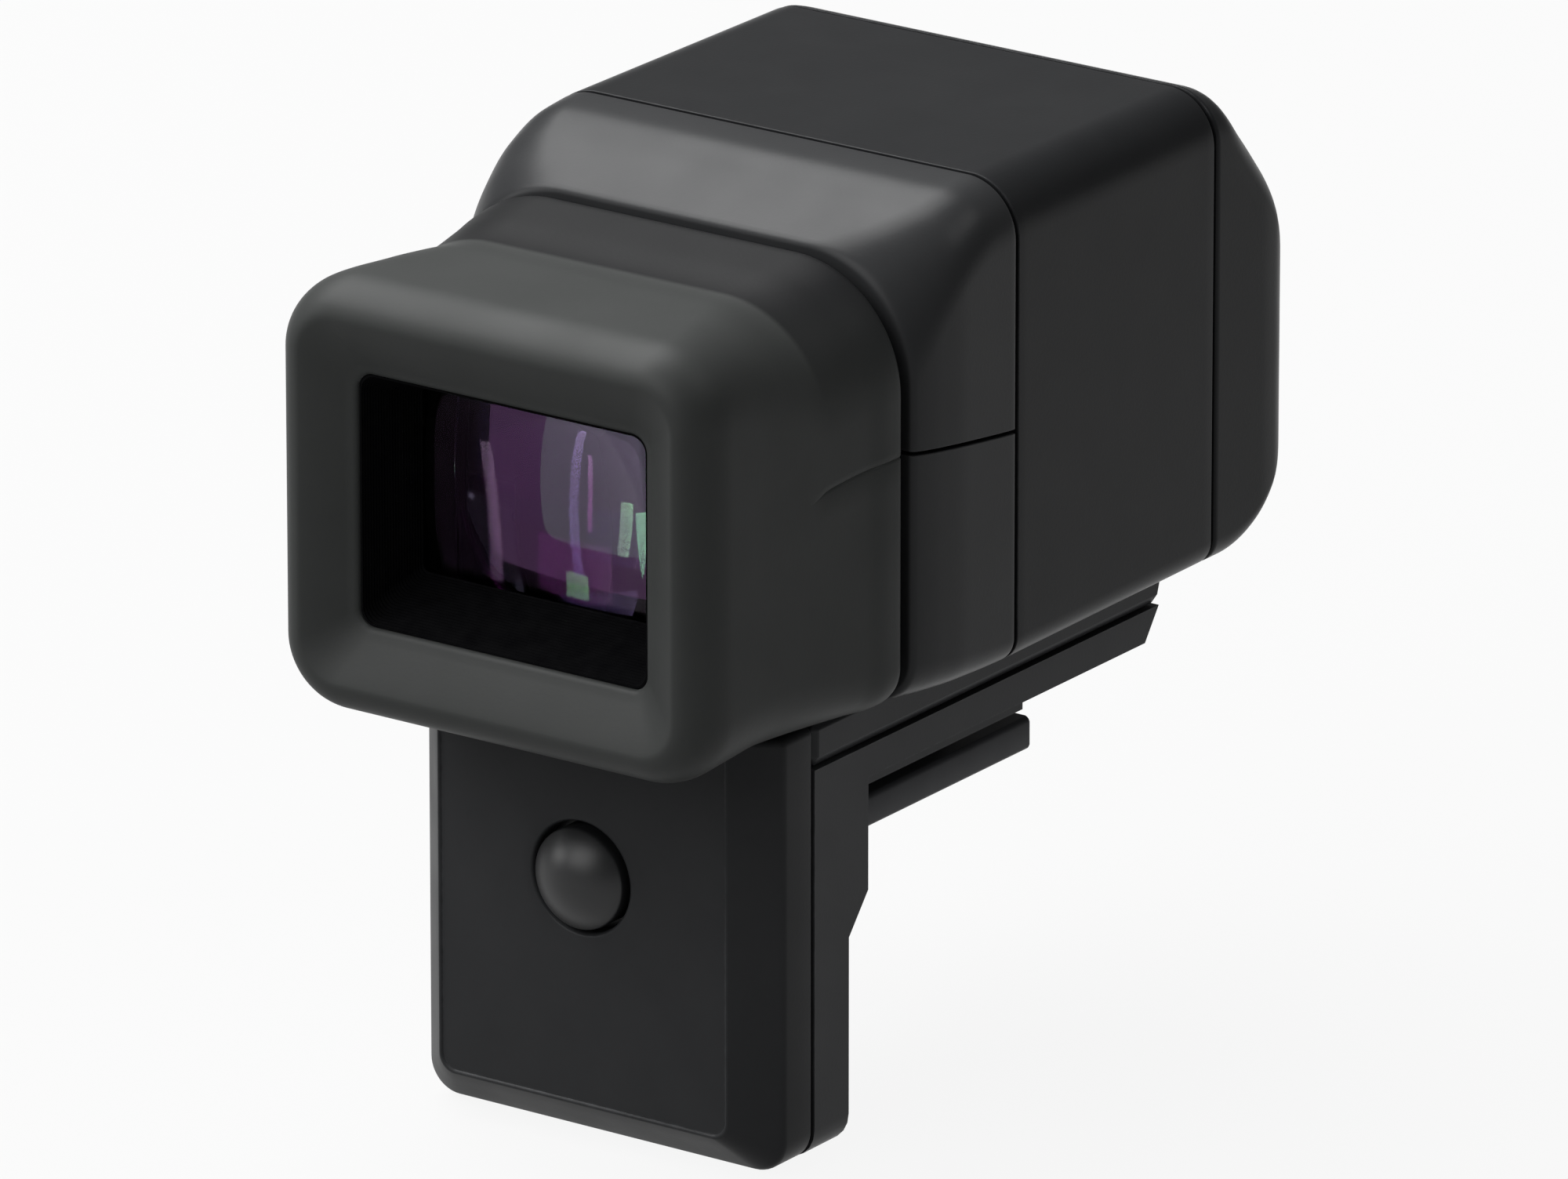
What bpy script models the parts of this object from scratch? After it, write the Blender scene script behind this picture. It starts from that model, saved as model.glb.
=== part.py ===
"""Electronic viewfinder: a tilting head on an L-shaped base with a shoe foot and a drop-down post.

Metres, +Z up. The origin is the centre of the shoe foot's underside. The eyepiece looks towards -Y,
the far end of the head towards +Y, and +X is on the user's right.
"""
import math

import bmesh
import bpy
from mathutils import Vector

MM = 0.001
SHARP_ANGLE = math.radians(32.0)

# Shared clearances
FIT_GAP = 0.3 * MM
CUT_OVERRUN = 1.0 * MM
WELD_REACH = 0.001 * MM

# Shoe foot: a plate with a neck up into the base
FOOT_HALF_WIDTH = 9.3 * MM
FOOT_HALF_LENGTH = 9.0 * MM
FOOT_PLATE_THICKNESS = 1.9 * MM
FOOT_CORNER = 0.8 * MM
FOOT_FAR_CORNER = 0.2 * MM
FOOT_EDGE = 0.3 * MM
RAIL_SLOT_HEIGHT = 1.3 * MM
NECK_INSET = 3.2 * MM
NECK_FRONT_SET_BACK = 1.0 * MM
NECK_REAR_SET_BACK = 3.4 * MM
NECK_HALF_WIDTH = FOOT_HALF_WIDTH - NECK_INSET
NECK_FRONT_Y = NECK_FRONT_SET_BACK - FOOT_HALF_LENGTH
NECK_REAR_Y = FOOT_HALF_LENGTH - NECK_REAR_SET_BACK

# Base: a boss over the foot, a tray, and a cover that closes it
BASE_HALF_WIDTH = 11.75 * MM
BASE_WALL = 1.1 * MM
BOSS_HEIGHT = 1.3 * MM
BOSS_INSET = 1.45 * MM
BOSS_OVERHANG = 1.0 * MM
TRAY_DEPTH = 2.0 * MM
COVER_HEIGHT = 2.4 * MM
NECK_SHORTFALL = 0.4 * MM
BOSS_BOTTOM_Z = FOOT_PLATE_THICKNESS + RAIL_SLOT_HEIGHT
BASE_BOTTOM_Z = BOSS_BOTTOM_Z + BOSS_HEIGHT
BASE_SEAM_Z = BASE_BOTTOM_Z + TRAY_DEPTH
BASE_TOP_Z = BASE_SEAM_Z + COVER_HEIGHT
NECK_TOP_Z = BASE_BOTTOM_Z + BASE_WALL - NECK_SHORTFALL
BOSS_HALF_WIDTH = BASE_HALF_WIDTH - BOSS_INSET
BOSS_FAR_Y = NECK_REAR_Y + BOSS_OVERHANG
BASE_FAR_Y = 18.3 * MM
BASE_FAR_SLANT = 2.0 * MM
BASE_FAR_EASE = 0.7 * MM
BASE_TOP_EDGE = 0.35 * MM

# Post, hanging from the base's near end
POST_FRONT_Y = -20.2 * MM
POST_COVER_DEPTH = 4.95 * MM
POST_DEPTH = 8.3 * MM
POST_SHOULDER_DEPTH = 1.8 * MM
POST_SHOULDER_FALL = 6.4 * MM
POST_SHOULDER_DROP = 2.2 * MM
POST_LENGTH = 20.5 * MM
POST_CHAMFER = 2.3 * MM
POST_CORNER = 1.8 * MM
POST_WALL = 1.2 * MM
POST_SEAM_Y = POST_FRONT_Y + POST_COVER_DEPTH
POST_REAR_Y = POST_FRONT_Y + POST_DEPTH
POST_SHOULDER_Y = POST_REAR_Y + POST_SHOULDER_DEPTH
POST_SHOULDER_Z = BASE_BOTTOM_Z - POST_SHOULDER_FALL
POST_BOTTOM_Z = BASE_BOTTOM_Z - POST_LENGTH

# Hinge: the drum turns in the head's notch, and the pin runs through both
HINGE_OVERHANG = 0.8 * MM
HEAD_ROUND = 6.2 * MM
HEAD_BOTTOM_Z = BASE_TOP_Z + FIT_GAP
HINGE_Y = BASE_FAR_Y + HINGE_OVERHANG
HINGE_Z = HEAD_BOTTOM_Z + HEAD_ROUND
PIN_RADIUS = 1.3 * MM
PIN_BORE = PIN_RADIUS + FIT_GAP
DRUM_SET_IN = 0.6 * MM
DRUM_RADIUS = HEAD_ROUND - DRUM_SET_IN
DRUM_WALL = 1.7 * MM
DRUM_HALF_WIDTH = 7.0 * MM
WASHER_THICKNESS = 0.4 * MM
WASHER_RIM = 1.6 * MM
WASHER_RADIUS = PIN_BORE + WASHER_RIM
NOTCH_HALF_WIDTH = DRUM_HALF_WIDTH + WASHER_THICKNESS + 2.0 * FIT_GAP
NOTCH_RADIUS = DRUM_RADIUS + FIT_GAP
NOTCH_WALL = 1.0 * MM
NOTCH_FRONT_ROOM = 0.6 * MM
NOTCH_FRONT_Y = HINGE_Y - NOTCH_RADIUS - NOTCH_FRONT_ROOM
EAR_RIM = 1.6 * MM
EAR_RADIUS = PIN_BORE + EAR_RIM
EAR_THICKNESS = 0.8 * MM
EAR_INNER_X = NOTCH_HALF_WIDTH + NOTCH_WALL + FIT_GAP
EAR_OUTER_X = EAR_INNER_X + EAR_THICKNESS
PIN_HEAD_RIM = 0.9 * MM
PIN_HEAD_RADIUS = PIN_RADIUS + PIN_HEAD_RIM
PIN_HEAD_THICKNESS = 0.6 * MM
PIN_TAIL = 0.5 * MM
PIN_HALF_LENGTH = EAR_OUTER_X + FIT_GAP + PIN_TAIL

# Head, from the eyecup to the far cap
HEAD_WALL = 1.3 * MM
HEAD_HEIGHT = 27.2 * MM
MOUTH_Y = -10.6 * MM
MOUTH_DEPTH = 9.0 * MM
SEAM_1_Y = MOUTH_Y + MOUTH_DEPTH
SEAM_1_HALF_WIDTH = 15.5 * MM
SEAM_1_TOP_Z = HEAD_BOTTOM_Z + HEAD_HEIGHT
SEAM_1_RADIUS = 3.2 * MM
CAP_SET_BACK = 1.5 * MM
FAR_TAPER = 0.2 * MM
FAR_FALL = 0.1 * MM
SEAM_2_Y = HINGE_Y - CAP_SET_BACK
SEAM_2_HALF_WIDTH = SEAM_1_HALF_WIDTH - FAR_TAPER
SEAM_2_TOP_Z = SEAM_1_TOP_Z - FAR_FALL
SEAM_2_RADIUS = 3.0 * MM
MOUTH_TAPER = 0.6 * MM
MOUTH_STEP_DOWN = 2.35 * MM
MOUTH_HALF_WIDTH = SEAM_1_HALF_WIDTH - MOUTH_TAPER
MOUTH_TOP_Z = SEAM_1_TOP_Z - MOUTH_STEP_DOWN
MOUTH_RADIUS = 7.0 * MM
MOUTH_LOW_RADIUS = 2.6 * MM
CASING_LOW_RADIUS = 1.6 * MM
FAR_FACE_HEIGHT = 10.4 * MM
FAR_Y = HINGE_Y + HEAD_ROUND
FAR_TOP_Z = HINGE_Z + FAR_FACE_HEIGHT
FAR_EDGE = 1.7 * MM

# Rubber eyecup, in front of the casing's mouth
EYECUP_LENGTH = 17.7 * MM
EYECUP_REAR_GAP = 0.6 * MM
EYECUP_REAR_Y = MOUTH_Y - EYECUP_REAR_GAP
EYECUP_FRONT_Y = EYECUP_REAR_Y - EYECUP_LENGTH
EYECUP_STEP = 0.8 * MM
EYECUP_STEP_DOWN = 0.85 * MM
COLLAR_STEP_DOWN = 0.45 * MM
EYECUP_HALF_WIDTH = MOUTH_HALF_WIDTH - EYECUP_STEP
EYECUP_TOP_Z = MOUTH_TOP_Z - EYECUP_STEP_DOWN
EYECUP_COLLAR_TOP_Z = MOUTH_TOP_Z - COLLAR_STEP_DOWN
EYECUP_CREST_INSET = 1.4 * MM
EYECUP_CREST_WIDTH = 0.9 * MM
EYECUP_DISH_DEPTH = 0.9 * MM
EYECUP_LIP = 2.6 * MM
EYECUP_LIP_REAR_Y = EYECUP_FRONT_Y + EYECUP_LIP
EYECUP_DIP = 1.1 * MM
EYECUP_CHIN = 0.45 * MM
EYECUP_RADIUS = 4.2 * MM
EYECUP_COLLAR_RADIUS = 6.6 * MM

# Optics, centred in the eyecup's height and sized to the head
OPTIC_DROP = 0.3 * MM
OPTIC_Z = (HEAD_BOTTOM_Z + EYECUP_TOP_Z) / 2.0 - OPTIC_DROP
SPLIT_RISE = 2.1 * MM
SHELL_SPLIT_Z = OPTIC_Z + SPLIT_RISE
HOUSING_SIDE_ROOM = 2.3 * MM
HOUSING_LOW_ROOM = 0.6 * MM
HOUSING_HALF_WIDTH = SEAM_1_HALF_WIDTH - HEAD_WALL - HOUSING_SIDE_ROOM
HOUSING_HALF_HEIGHT = OPTIC_Z - HEAD_BOTTOM_Z - HEAD_WALL - HOUSING_LOW_ROOM
HOUSING_WALL = 1.2 * MM
BEZEL_DEPTH = 3.4 * MM
HOUSING_FRONT_Y = EYECUP_LIP_REAR_Y + BEZEL_DEPTH + 2.0 * FIT_GAP
FRAME_LIP = 0.5 * MM
FRAME_TAIL = 0.3 * MM
PANEL_THICKNESS = 1.1 * MM
DIFFUSER_THICKNESS = 0.3 * MM
BACKLIGHT_THICKNESS = 2.5 * MM
BOARD_THICKNESS = 0.8 * MM
SOCKET_THICKNESS = 1.2 * MM
STACK_REAR_ROOM = 0.8 * MM
FRAME_DEPTH = (FRAME_LIP + PANEL_THICKNESS + DIFFUSER_THICKNESS + BACKLIGHT_THICKNESS + 4.0 * FIT_GAP
               + FRAME_TAIL)
STACK_DEPTH = FRAME_DEPTH + BOARD_THICKNESS + SOCKET_THICKNESS + 3.0 * FIT_GAP
HOUSING_REAR_Y = NOTCH_FRONT_Y - NOTCH_WALL - STACK_REAR_ROOM - STACK_DEPTH
WINDOW_SIDE_LEDGE = 2.5 * MM
WINDOW_TOP_LEDGE = 2.7 * MM
WINDOW_HALF_WIDTH = HOUSING_HALF_WIDTH - WINDOW_SIDE_LEDGE
WINDOW_HALF_HEIGHT = HOUSING_HALF_HEIGHT - WINDOW_TOP_LEDGE
WINDOW_CORNER = 0.9 * MM
GLASS_THICKNESS = 1.0 * MM
SIGHT_SIDE_DRAFT = 0.8 * MM
SIGHT_TOP_DRAFT = 1.85 * MM
GLASS_SIGHT_HALF_WIDTH = WINDOW_HALF_WIDTH - SIGHT_SIDE_DRAFT
GLASS_SIGHT_HALF_HEIGHT = WINDOW_HALF_HEIGHT - SIGHT_TOP_DRAFT

# Dioptre wheel on the head's left side
DIAL_SET_BACK = 4.4 * MM
DIAL_DROP = 2.7 * MM
DIAL_Y = MOUTH_Y + DIAL_SET_BACK
DIAL_Z = OPTIC_Z - DIAL_DROP
DIAL_RADIUS = 3.5 * MM
DIAL_PROUD = 0.8 * MM
DIAL_SHAFT_RADIUS = 1.0 * MM
CRANK_THROW = 2.2 * MM
CRANK_PIN_RADIUS = 0.6 * MM
CRANK_PIN_Z = DIAL_Z + CRANK_THROW

# Button in the post's face
BUTTON_FALL = 9.6 * MM
BUTTON_Z = BASE_TOP_Z - BUTTON_FALL
BUTTON_RADIUS = 2.6 * MM

for stale in list(bpy.data.objects):
    bpy.data.objects.remove(stale, do_unlink=True)

scene = bpy.context.scene
parts = bpy.data.collections.new("electronic_viewfinder")
cutters = bpy.data.collections.new("cutters")
scene.collection.children.link(parts)
scene.collection.children.link(cutters)


def material(name, colour, roughness, metallic):
    """A plain surface of one colour."""
    surface = bpy.data.materials.new(name)
    surface.use_nodes = True
    shader = surface.node_tree.nodes["Principled BSDF"]
    shader.inputs["Base Color"].default_value = (*colour, 1.0)
    shader.inputs["Roughness"].default_value = roughness
    shader.inputs["Metallic"].default_value = metallic
    return surface


CHARCOAL = (0.035, 0.036, 0.038)
RUBBER = (0.045, 0.047, 0.045)
BLACK = (0.010, 0.010, 0.011)
STEEL = (0.55, 0.55, 0.56)
GLASS = (0.30, 0.12, 0.36)
BOARD = (0.02, 0.12, 0.06)
AMBER = (0.55, 0.30, 0.06)
WHITE = (0.80, 0.80, 0.78)


def empty(name, location, parent=None):
    """A pivot that carries moving pieces."""
    pivot = bpy.data.objects.new(name, None)
    parts.objects.link(pivot)
    pivot.location = location
    if parent:
        pivot.parent = parent
        pivot.location = Vector(location) - Vector(parent["place"])
    pivot["place"] = tuple(location)
    return pivot


def solid(name, mesh, location, colour=None, roughness=0.5, metallic=0.0, parent=None):
    """Link a mesh as a part if it has a colour, otherwise as a cutter."""
    bmesh_data = bmesh.new()
    bmesh_data.from_mesh(mesh)
    bmesh.ops.recalc_face_normals(bmesh_data, faces=bmesh_data.faces)
    bmesh_data.to_mesh(mesh)
    bmesh_data.free()
    mesh.shade_smooth()
    mesh.set_sharp_from_angle(angle=SHARP_ANGLE)
    piece = bpy.data.objects.new(name, mesh)
    piece.location = location
    if colour is None:
        cutters.objects.link(piece)
        piece.hide_render = True
        piece.display_type = "WIRE"
        return piece
    parts.objects.link(piece)
    mesh.materials.append(material(name, colour, roughness, metallic))
    if parent:
        piece.parent = parent
        piece.location = Vector(location) - Vector(parent["place"])
    return piece


def block(name, low, high, edge=0.0, edge_steps=1, **look):
    """A box between two corners, with its edges eased if asked."""
    size = Vector(high) - Vector(low)
    shape = bmesh.new()
    bmesh.ops.create_cube(shape, size=1.0)
    bmesh.ops.scale(shape, vec=size, verts=shape.verts)
    mesh = bpy.data.meshes.new(name)
    shape.to_mesh(mesh)
    shape.free()
    piece = solid(name, mesh, (Vector(low) + Vector(high)) / 2.0, **look)
    if edge:
        ease = piece.modifiers.new("eased edges", "BEVEL")
        ease.width = edge
        ease.segments = edge_steps
    return piece


def rod(name, start, end, radius, end_radius=None, sides=32, **look):
    """A cylinder or cone between two points along X, Y or Z."""
    start, end = Vector(start), Vector(end)
    run = end - start
    shape = bmesh.new()
    bmesh.ops.create_cone(shape, cap_ends=True, segments=sides, radius1=radius,
                          radius2=radius if end_radius is None else end_radius, depth=run.length)
    mesh = bpy.data.meshes.new(name)
    shape.to_mesh(mesh)
    shape.free()
    turn = run.to_track_quat("Z", "Y").to_matrix().to_4x4()
    mesh.transform(turn)
    return solid(name, mesh, (start + end) / 2.0, **look)


def section(y, half_width, bottom, top, top_radius, low_radius, steps):
    """Points round one upright rounded rectangle at a given depth."""
    corners = ((half_width - top_radius, top - top_radius, 0.0, top_radius),
               (top_radius - half_width, top - top_radius, 90.0, top_radius),
               (low_radius - half_width, bottom + low_radius, 180.0, low_radius),
               (half_width - low_radius, bottom + low_radius, 270.0, low_radius))
    points = []
    for x, z, start, radius in corners:
        for step in range(steps + 1):
            turn = math.radians(start + 90.0 * step / steps)
            points.append((x + radius * math.cos(turn), y, z + radius * math.sin(turn)))
    return points


def loft(name, stations, steps=5, **look):
    """A closed skin through rounded-rectangle sections along Y."""
    shape = bmesh.new()
    rings = [[shape.verts.new(p) for p in section(*station, steps)] for station in stations]
    count = len(rings[0])
    for ring, following in zip(rings, rings[1:]):
        for i in range(count):
            j = (i + 1) % count
            shape.faces.new((ring[i], ring[j], following[j], following[i]))
    shape.faces.new(rings[0])
    shape.faces.new(reversed(rings[-1]))
    mesh = bpy.data.meshes.new(name)
    shape.to_mesh(mesh)
    shape.free()
    return solid(name, mesh, (0.0, 0.0, 0.0), **look)


def side_outline(name, points, half_width, centre_x=0.0, **look):
    """A flat outline in depth and height, extruded across the width."""
    curve = bpy.data.curves.new(name, "CURVE")
    curve.dimensions = "2D"
    curve.fill_mode = "BOTH"
    curve.extrude = half_width
    spline = curve.splines.new("POLY")
    spline.points.add(len(points) - 1)
    for point, (y, z) in zip(spline.points, points):
        point.co = (y, z, 0.0, 1.0)
    spline.use_cyclic_u = True
    guide = bpy.data.objects.new(name + "_outline", curve)
    cutters.objects.link(guide)
    guide.rotation_euler = (math.radians(90.0), 0.0, math.radians(90.0))
    bpy.context.view_layer.update()
    graph = bpy.context.evaluated_depsgraph_get()
    mesh = bpy.data.meshes.new_from_object(guide.evaluated_get(graph))
    mesh.transform(guide.matrix_world)
    bpy.data.objects.remove(guide, do_unlink=True)
    weld = bmesh.new()
    weld.from_mesh(mesh)
    bmesh.ops.remove_doubles(weld, verts=weld.verts, dist=WELD_REACH)
    weld.to_mesh(mesh)
    weld.free()
    mesh.materials.clear()
    return solid(name, mesh, (centre_x, 0.0, 0.0), **look)


def turned_y(name, profile, centre, steps, **look):
    """A turned body about an axis along Y; the profile lists (radius, distance along Y)."""
    shape = bmesh.new()
    line = [shape.verts.new((radius, 0.0, -along)) for radius, along in profile]
    for first, second in zip(line, line[1:]):
        shape.edges.new((first, second))
    bmesh.ops.spin(shape, geom=shape.verts[:] + shape.edges[:], cent=(0.0, 0.0, 0.0), axis=(0.0, 0.0, 1.0),
                   angle=math.radians(360.0), steps=steps, use_merge=True)
    bmesh.ops.remove_doubles(shape, verts=shape.verts, dist=WELD_REACH)
    mesh = bpy.data.meshes.new(name)
    shape.to_mesh(mesh)
    shape.free()
    turn = Vector((0.0, -1.0, 0.0)).to_track_quat("Z", "X").to_matrix().to_4x4()
    mesh.transform(turn)
    return solid(name, mesh, centre, **look)


def boolean(piece, tool, operation="DIFFERENCE"):
    """Cut a piece with a tool, or join or intersect them."""
    step = piece.modifiers.new(tool.name, "BOOLEAN")
    step.operation = operation
    step.solver = "EXACT"
    step.object = tool
    return piece


def cut(piece, *tools):
    for tool in tools:
        boolean(piece, tool)
    return piece


def join(piece, *tools):
    for tool in tools:
        boolean(piece, tool, "UNION")
    return piece


def framed(y0, y1, half_width, half_height, wall=0.0):
    """Opposite corners of a box round the optical axis, drawn in by a wall."""
    return ((wall - half_width, y0, OPTIC_Z - half_height + wall),
            (half_width - wall, y1, OPTIC_Z + half_height - wall))


def lensed(y, half_width, half_height, radius):
    """A station round the optical axis with one corner radius."""
    return (y, half_width, OPTIC_Z - half_height, OPTIC_Z + half_height, radius, radius)


head = empty("head_pivot", (0.0, HINGE_Y, HINGE_Z))
carriage = empty("lens_slide", (0.0, DIAL_Y, OPTIC_Z), parent=head)
dial = empty("dial_pivot", (-SEAM_1_HALF_WIDTH, DIAL_Y, DIAL_Z), parent=head)
button = empty("button_slide", (0.0, POST_FRONT_Y, BUTTON_Z))

# Notch that the head leaves round the hinge drum
notch_box = block("notch_box", (-NOTCH_HALF_WIDTH, NOTCH_FRONT_Y, HEAD_BOTTOM_Z - CUT_OVERRUN),
                  (NOTCH_HALF_WIDTH, FAR_Y + CUT_OVERRUN, HINGE_Z))
notch_bore = rod("notch_bore", (-NOTCH_HALF_WIDTH, HINGE_Y, HINGE_Z), (NOTCH_HALF_WIDTH, HINGE_Y, HINGE_Z),
                 NOTCH_RADIUS, sides=48)
keep_box = block("keep_box",
                 (-NOTCH_HALF_WIDTH - NOTCH_WALL, NOTCH_FRONT_Y - NOTCH_WALL, HEAD_BOTTOM_Z - CUT_OVERRUN * 2.0),
                 (NOTCH_HALF_WIDTH + NOTCH_WALL, FAR_Y + CUT_OVERRUN * 2.0, HINGE_Z + NOTCH_WALL))
keep_bore = rod("keep_bore", (-NOTCH_HALF_WIDTH - NOTCH_WALL, HINGE_Y, HINGE_Z),
                (NOTCH_HALF_WIDTH + NOTCH_WALL, HINGE_Y, HINGE_Z), NOTCH_RADIUS + NOTCH_WALL, sides=48)
pin_bore = rod("pin_bore", (-PIN_HALF_LENGTH - CUT_OVERRUN, HINGE_Y, HINGE_Z),
               (PIN_HALF_LENGTH + CUT_OVERRUN, HINGE_Y, HINGE_Z), PIN_BORE)


def blend(first, second, share):
    return first + (second - first) * share


def drawn_in(station, wall):
    """The same section, one wall further in."""
    y, half_width, bottom, top, top_radius, low_radius = station
    least = wall / 4.0
    return (y, half_width - wall, bottom + wall, top - wall, max(top_radius - wall, least),
            max(low_radius - wall, least))


# Front casing: the mouth swells out and up to the first seam
front_depth_shares = (0.0, 0.08, 0.25, 0.5, 0.75, 1.0)
front_width_shares = (0.0, 0.35, 0.75, 1.0, 1.0, 1.0)
front_rise_shares = (0.0, 0.32, 0.62, 0.9, 0.98, 1.0)
front_corner_shares = (0.0, 0.06, 0.3, 0.62, 0.87, 1.0)
FRONT_CASING_REAR_Y = SEAM_1_Y - FIT_GAP / 2.0
front_stations = []
for depth, width, rise, corner in zip(front_depth_shares, front_width_shares, front_rise_shares, front_corner_shares):
    front_stations.append((blend(MOUTH_Y, FRONT_CASING_REAR_Y, depth),
                           blend(MOUTH_HALF_WIDTH, SEAM_1_HALF_WIDTH, width), HEAD_BOTTOM_Z,
                           blend(MOUTH_TOP_Z, SEAM_1_TOP_Z, rise), blend(MOUTH_RADIUS, SEAM_1_RADIUS, corner),
                           blend(MOUTH_LOW_RADIUS, CASING_LOW_RADIUS, corner)))
front_cavity_stations = [drawn_in(station, HEAD_WALL) for station in front_stations[1:]]
front_wall_rear = MOUTH_Y + HEAD_WALL
front_cavity_stations[0] = (front_wall_rear,) + front_cavity_stations[0][1:]
last = front_cavity_stations[-1]
front_cavity_stations.append((last[0] + CUT_OVERRUN,) + last[1:])
front_cavity = loft("front_cavity", front_cavity_stations)
mouth_opening = loft("mouth_opening", [
    lensed(MOUTH_Y - CUT_OVERRUN, HOUSING_HALF_WIDTH + FIT_GAP, HOUSING_HALF_HEIGHT + FIT_GAP, WINDOW_CORNER),
    lensed(front_wall_rear + CUT_OVERRUN, HOUSING_HALF_WIDTH + FIT_GAP, HOUSING_HALF_HEIGHT + FIT_GAP, WINDOW_CORNER)])
SPAN = SEAM_1_HALF_WIDTH + CUT_OVERRUN
upper_half_space = block("upper_half_space", (-SPAN, MOUTH_Y - CUT_OVERRUN, SHELL_SPLIT_Z + FIT_GAP / 2.0),
                         (SPAN, SEAM_1_Y + CUT_OVERRUN, SEAM_1_TOP_Z + CUT_OVERRUN))
lower_half_space = block("lower_half_space", (-SPAN, MOUTH_Y - CUT_OVERRUN, HEAD_BOTTOM_Z - CUT_OVERRUN),
                         (SPAN, SEAM_1_Y + CUT_OVERRUN, SHELL_SPLIT_Z - FIT_GAP / 2.0))
front_upper = loft("front_casing_upper", front_stations, colour=CHARCOAL, roughness=0.42, parent=head)
cut(front_upper, front_cavity, mouth_opening)
boolean(front_upper, upper_half_space, "INTERSECT")
front_lower = loft("front_casing_lower", front_stations, colour=CHARCOAL, roughness=0.42, parent=head)
cut(front_lower, front_cavity, mouth_opening)
boolean(front_lower, lower_half_space, "INTERSECT")

# Seat of the dioptre wheel in the lower half, on the left side
DIAL_POCKET_DEPTH = 1.1 * MM
DIAL_SEAT_RIM = 0.5 * MM
DIAL_SEAT_RADIUS = DIAL_RADIUS + FIT_GAP + DIAL_SEAT_RIM
DIAL_SEAT_DEPTH = 2.1 * MM
POCKET_FLOOR_X = -SEAM_1_HALF_WIDTH + DIAL_POCKET_DEPTH
SEAT_INNER_X = -SEAM_1_HALF_WIDTH + DIAL_SEAT_DEPTH
dial_seat = rod("dial_seat", (-SEAM_1_HALF_WIDTH + HEAD_WALL / 2.0, DIAL_Y, DIAL_Z), (SEAT_INNER_X, DIAL_Y, DIAL_Z),
                DIAL_SEAT_RADIUS)
dial_pocket = rod("dial_pocket", (-SPAN, DIAL_Y, DIAL_Z), (POCKET_FLOOR_X, DIAL_Y, DIAL_Z), DIAL_RADIUS + FIT_GAP)
dial_hole = rod("dial_hole", (-SPAN, DIAL_Y, DIAL_Z), (SEAT_INNER_X + CUT_OVERRUN, DIAL_Y, DIAL_Z),
                DIAL_SHAFT_RADIUS + FIT_GAP, sides=24)
join(front_lower, dial_seat)
cut(front_lower, dial_pocket, dial_hole)

# Main casing between the two seams
main_shares = (0.0, 0.35, 0.7, 1.0)
MAIN_FRONT_Y = SEAM_1_Y + FIT_GAP / 2.0
MAIN_REAR_Y = SEAM_2_Y - FIT_GAP / 2.0
main_stations = []
for share in main_shares:
    main_stations.append((blend(MAIN_FRONT_Y, MAIN_REAR_Y, share),
                          blend(SEAM_1_HALF_WIDTH, SEAM_2_HALF_WIDTH, share), HEAD_BOTTOM_Z,
                          blend(SEAM_1_TOP_Z, SEAM_2_TOP_Z, share), blend(SEAM_1_RADIUS, SEAM_2_RADIUS, share),
                          CASING_LOW_RADIUS))
main_inner = [drawn_in(station, HEAD_WALL) for station in main_stations]
main_inner = ([(MAIN_FRONT_Y - CUT_OVERRUN,) + main_inner[0][1:]] + main_inner[1:-1]
              + [(MAIN_REAR_Y + CUT_OVERRUN,) + main_inner[-1][1:]])
main_cavity = loft("main_cavity", main_inner)
cut(main_cavity, keep_box, keep_bore)
FLOOR_SIDE_ROOM = 4.3 * MM
FLOOR_SET_BACK = 2.4 * MM
FLOOR_REAR_ROOM = 1.2 * MM
FLOOR_HALF_WIDTH = SEAM_1_HALF_WIDTH - HEAD_WALL - FLOOR_SIDE_ROOM
FLOOR_FRONT_Y = SEAM_1_Y + FLOOR_SET_BACK
FLOOR_REAR_Y = NOTCH_FRONT_Y - NOTCH_WALL - FLOOR_REAR_ROOM
FLOOR_THICKNESS = 1.1 * MM
floor_opening = block("floor_opening",
                      (-FLOOR_HALF_WIDTH - FIT_GAP, FLOOR_FRONT_Y - FIT_GAP, HEAD_BOTTOM_Z - CUT_OVERRUN),
                      (FLOOR_HALF_WIDTH + FIT_GAP, FLOOR_REAR_Y + FIT_GAP, HEAD_BOTTOM_Z + HEAD_WALL + CUT_OVERRUN))
main_casing = loft("main_casing", main_stations, colour=CHARCOAL, roughness=0.42, parent=head)
cut(main_casing, main_cavity, notch_box, notch_bore, floor_opening)

# Far cap: slants down from the second seam, and rounds under about the hinge axis
cap_depth_shares = (0.0, 0.19, 0.41, 0.6, 0.78, 0.93, 1.0)
cap_fall_shares = (0.0, 0.05, 0.22, 0.38, 0.545, 0.77, 1.0)
cap_edge_shares = (0.0, 0.0, 0.0, 0.0, 0.05, 0.32, 1.0)
CAP_FRONT_Y = SEAM_2_Y + FIT_GAP / 2.0


def round_under(y, radius):
    """Height of the arc about the hinge axis at a given depth."""
    reach = min(max(y - HINGE_Y, 0.0), radius)
    return HINGE_Z - math.sqrt(radius * radius - reach * reach)


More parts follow.
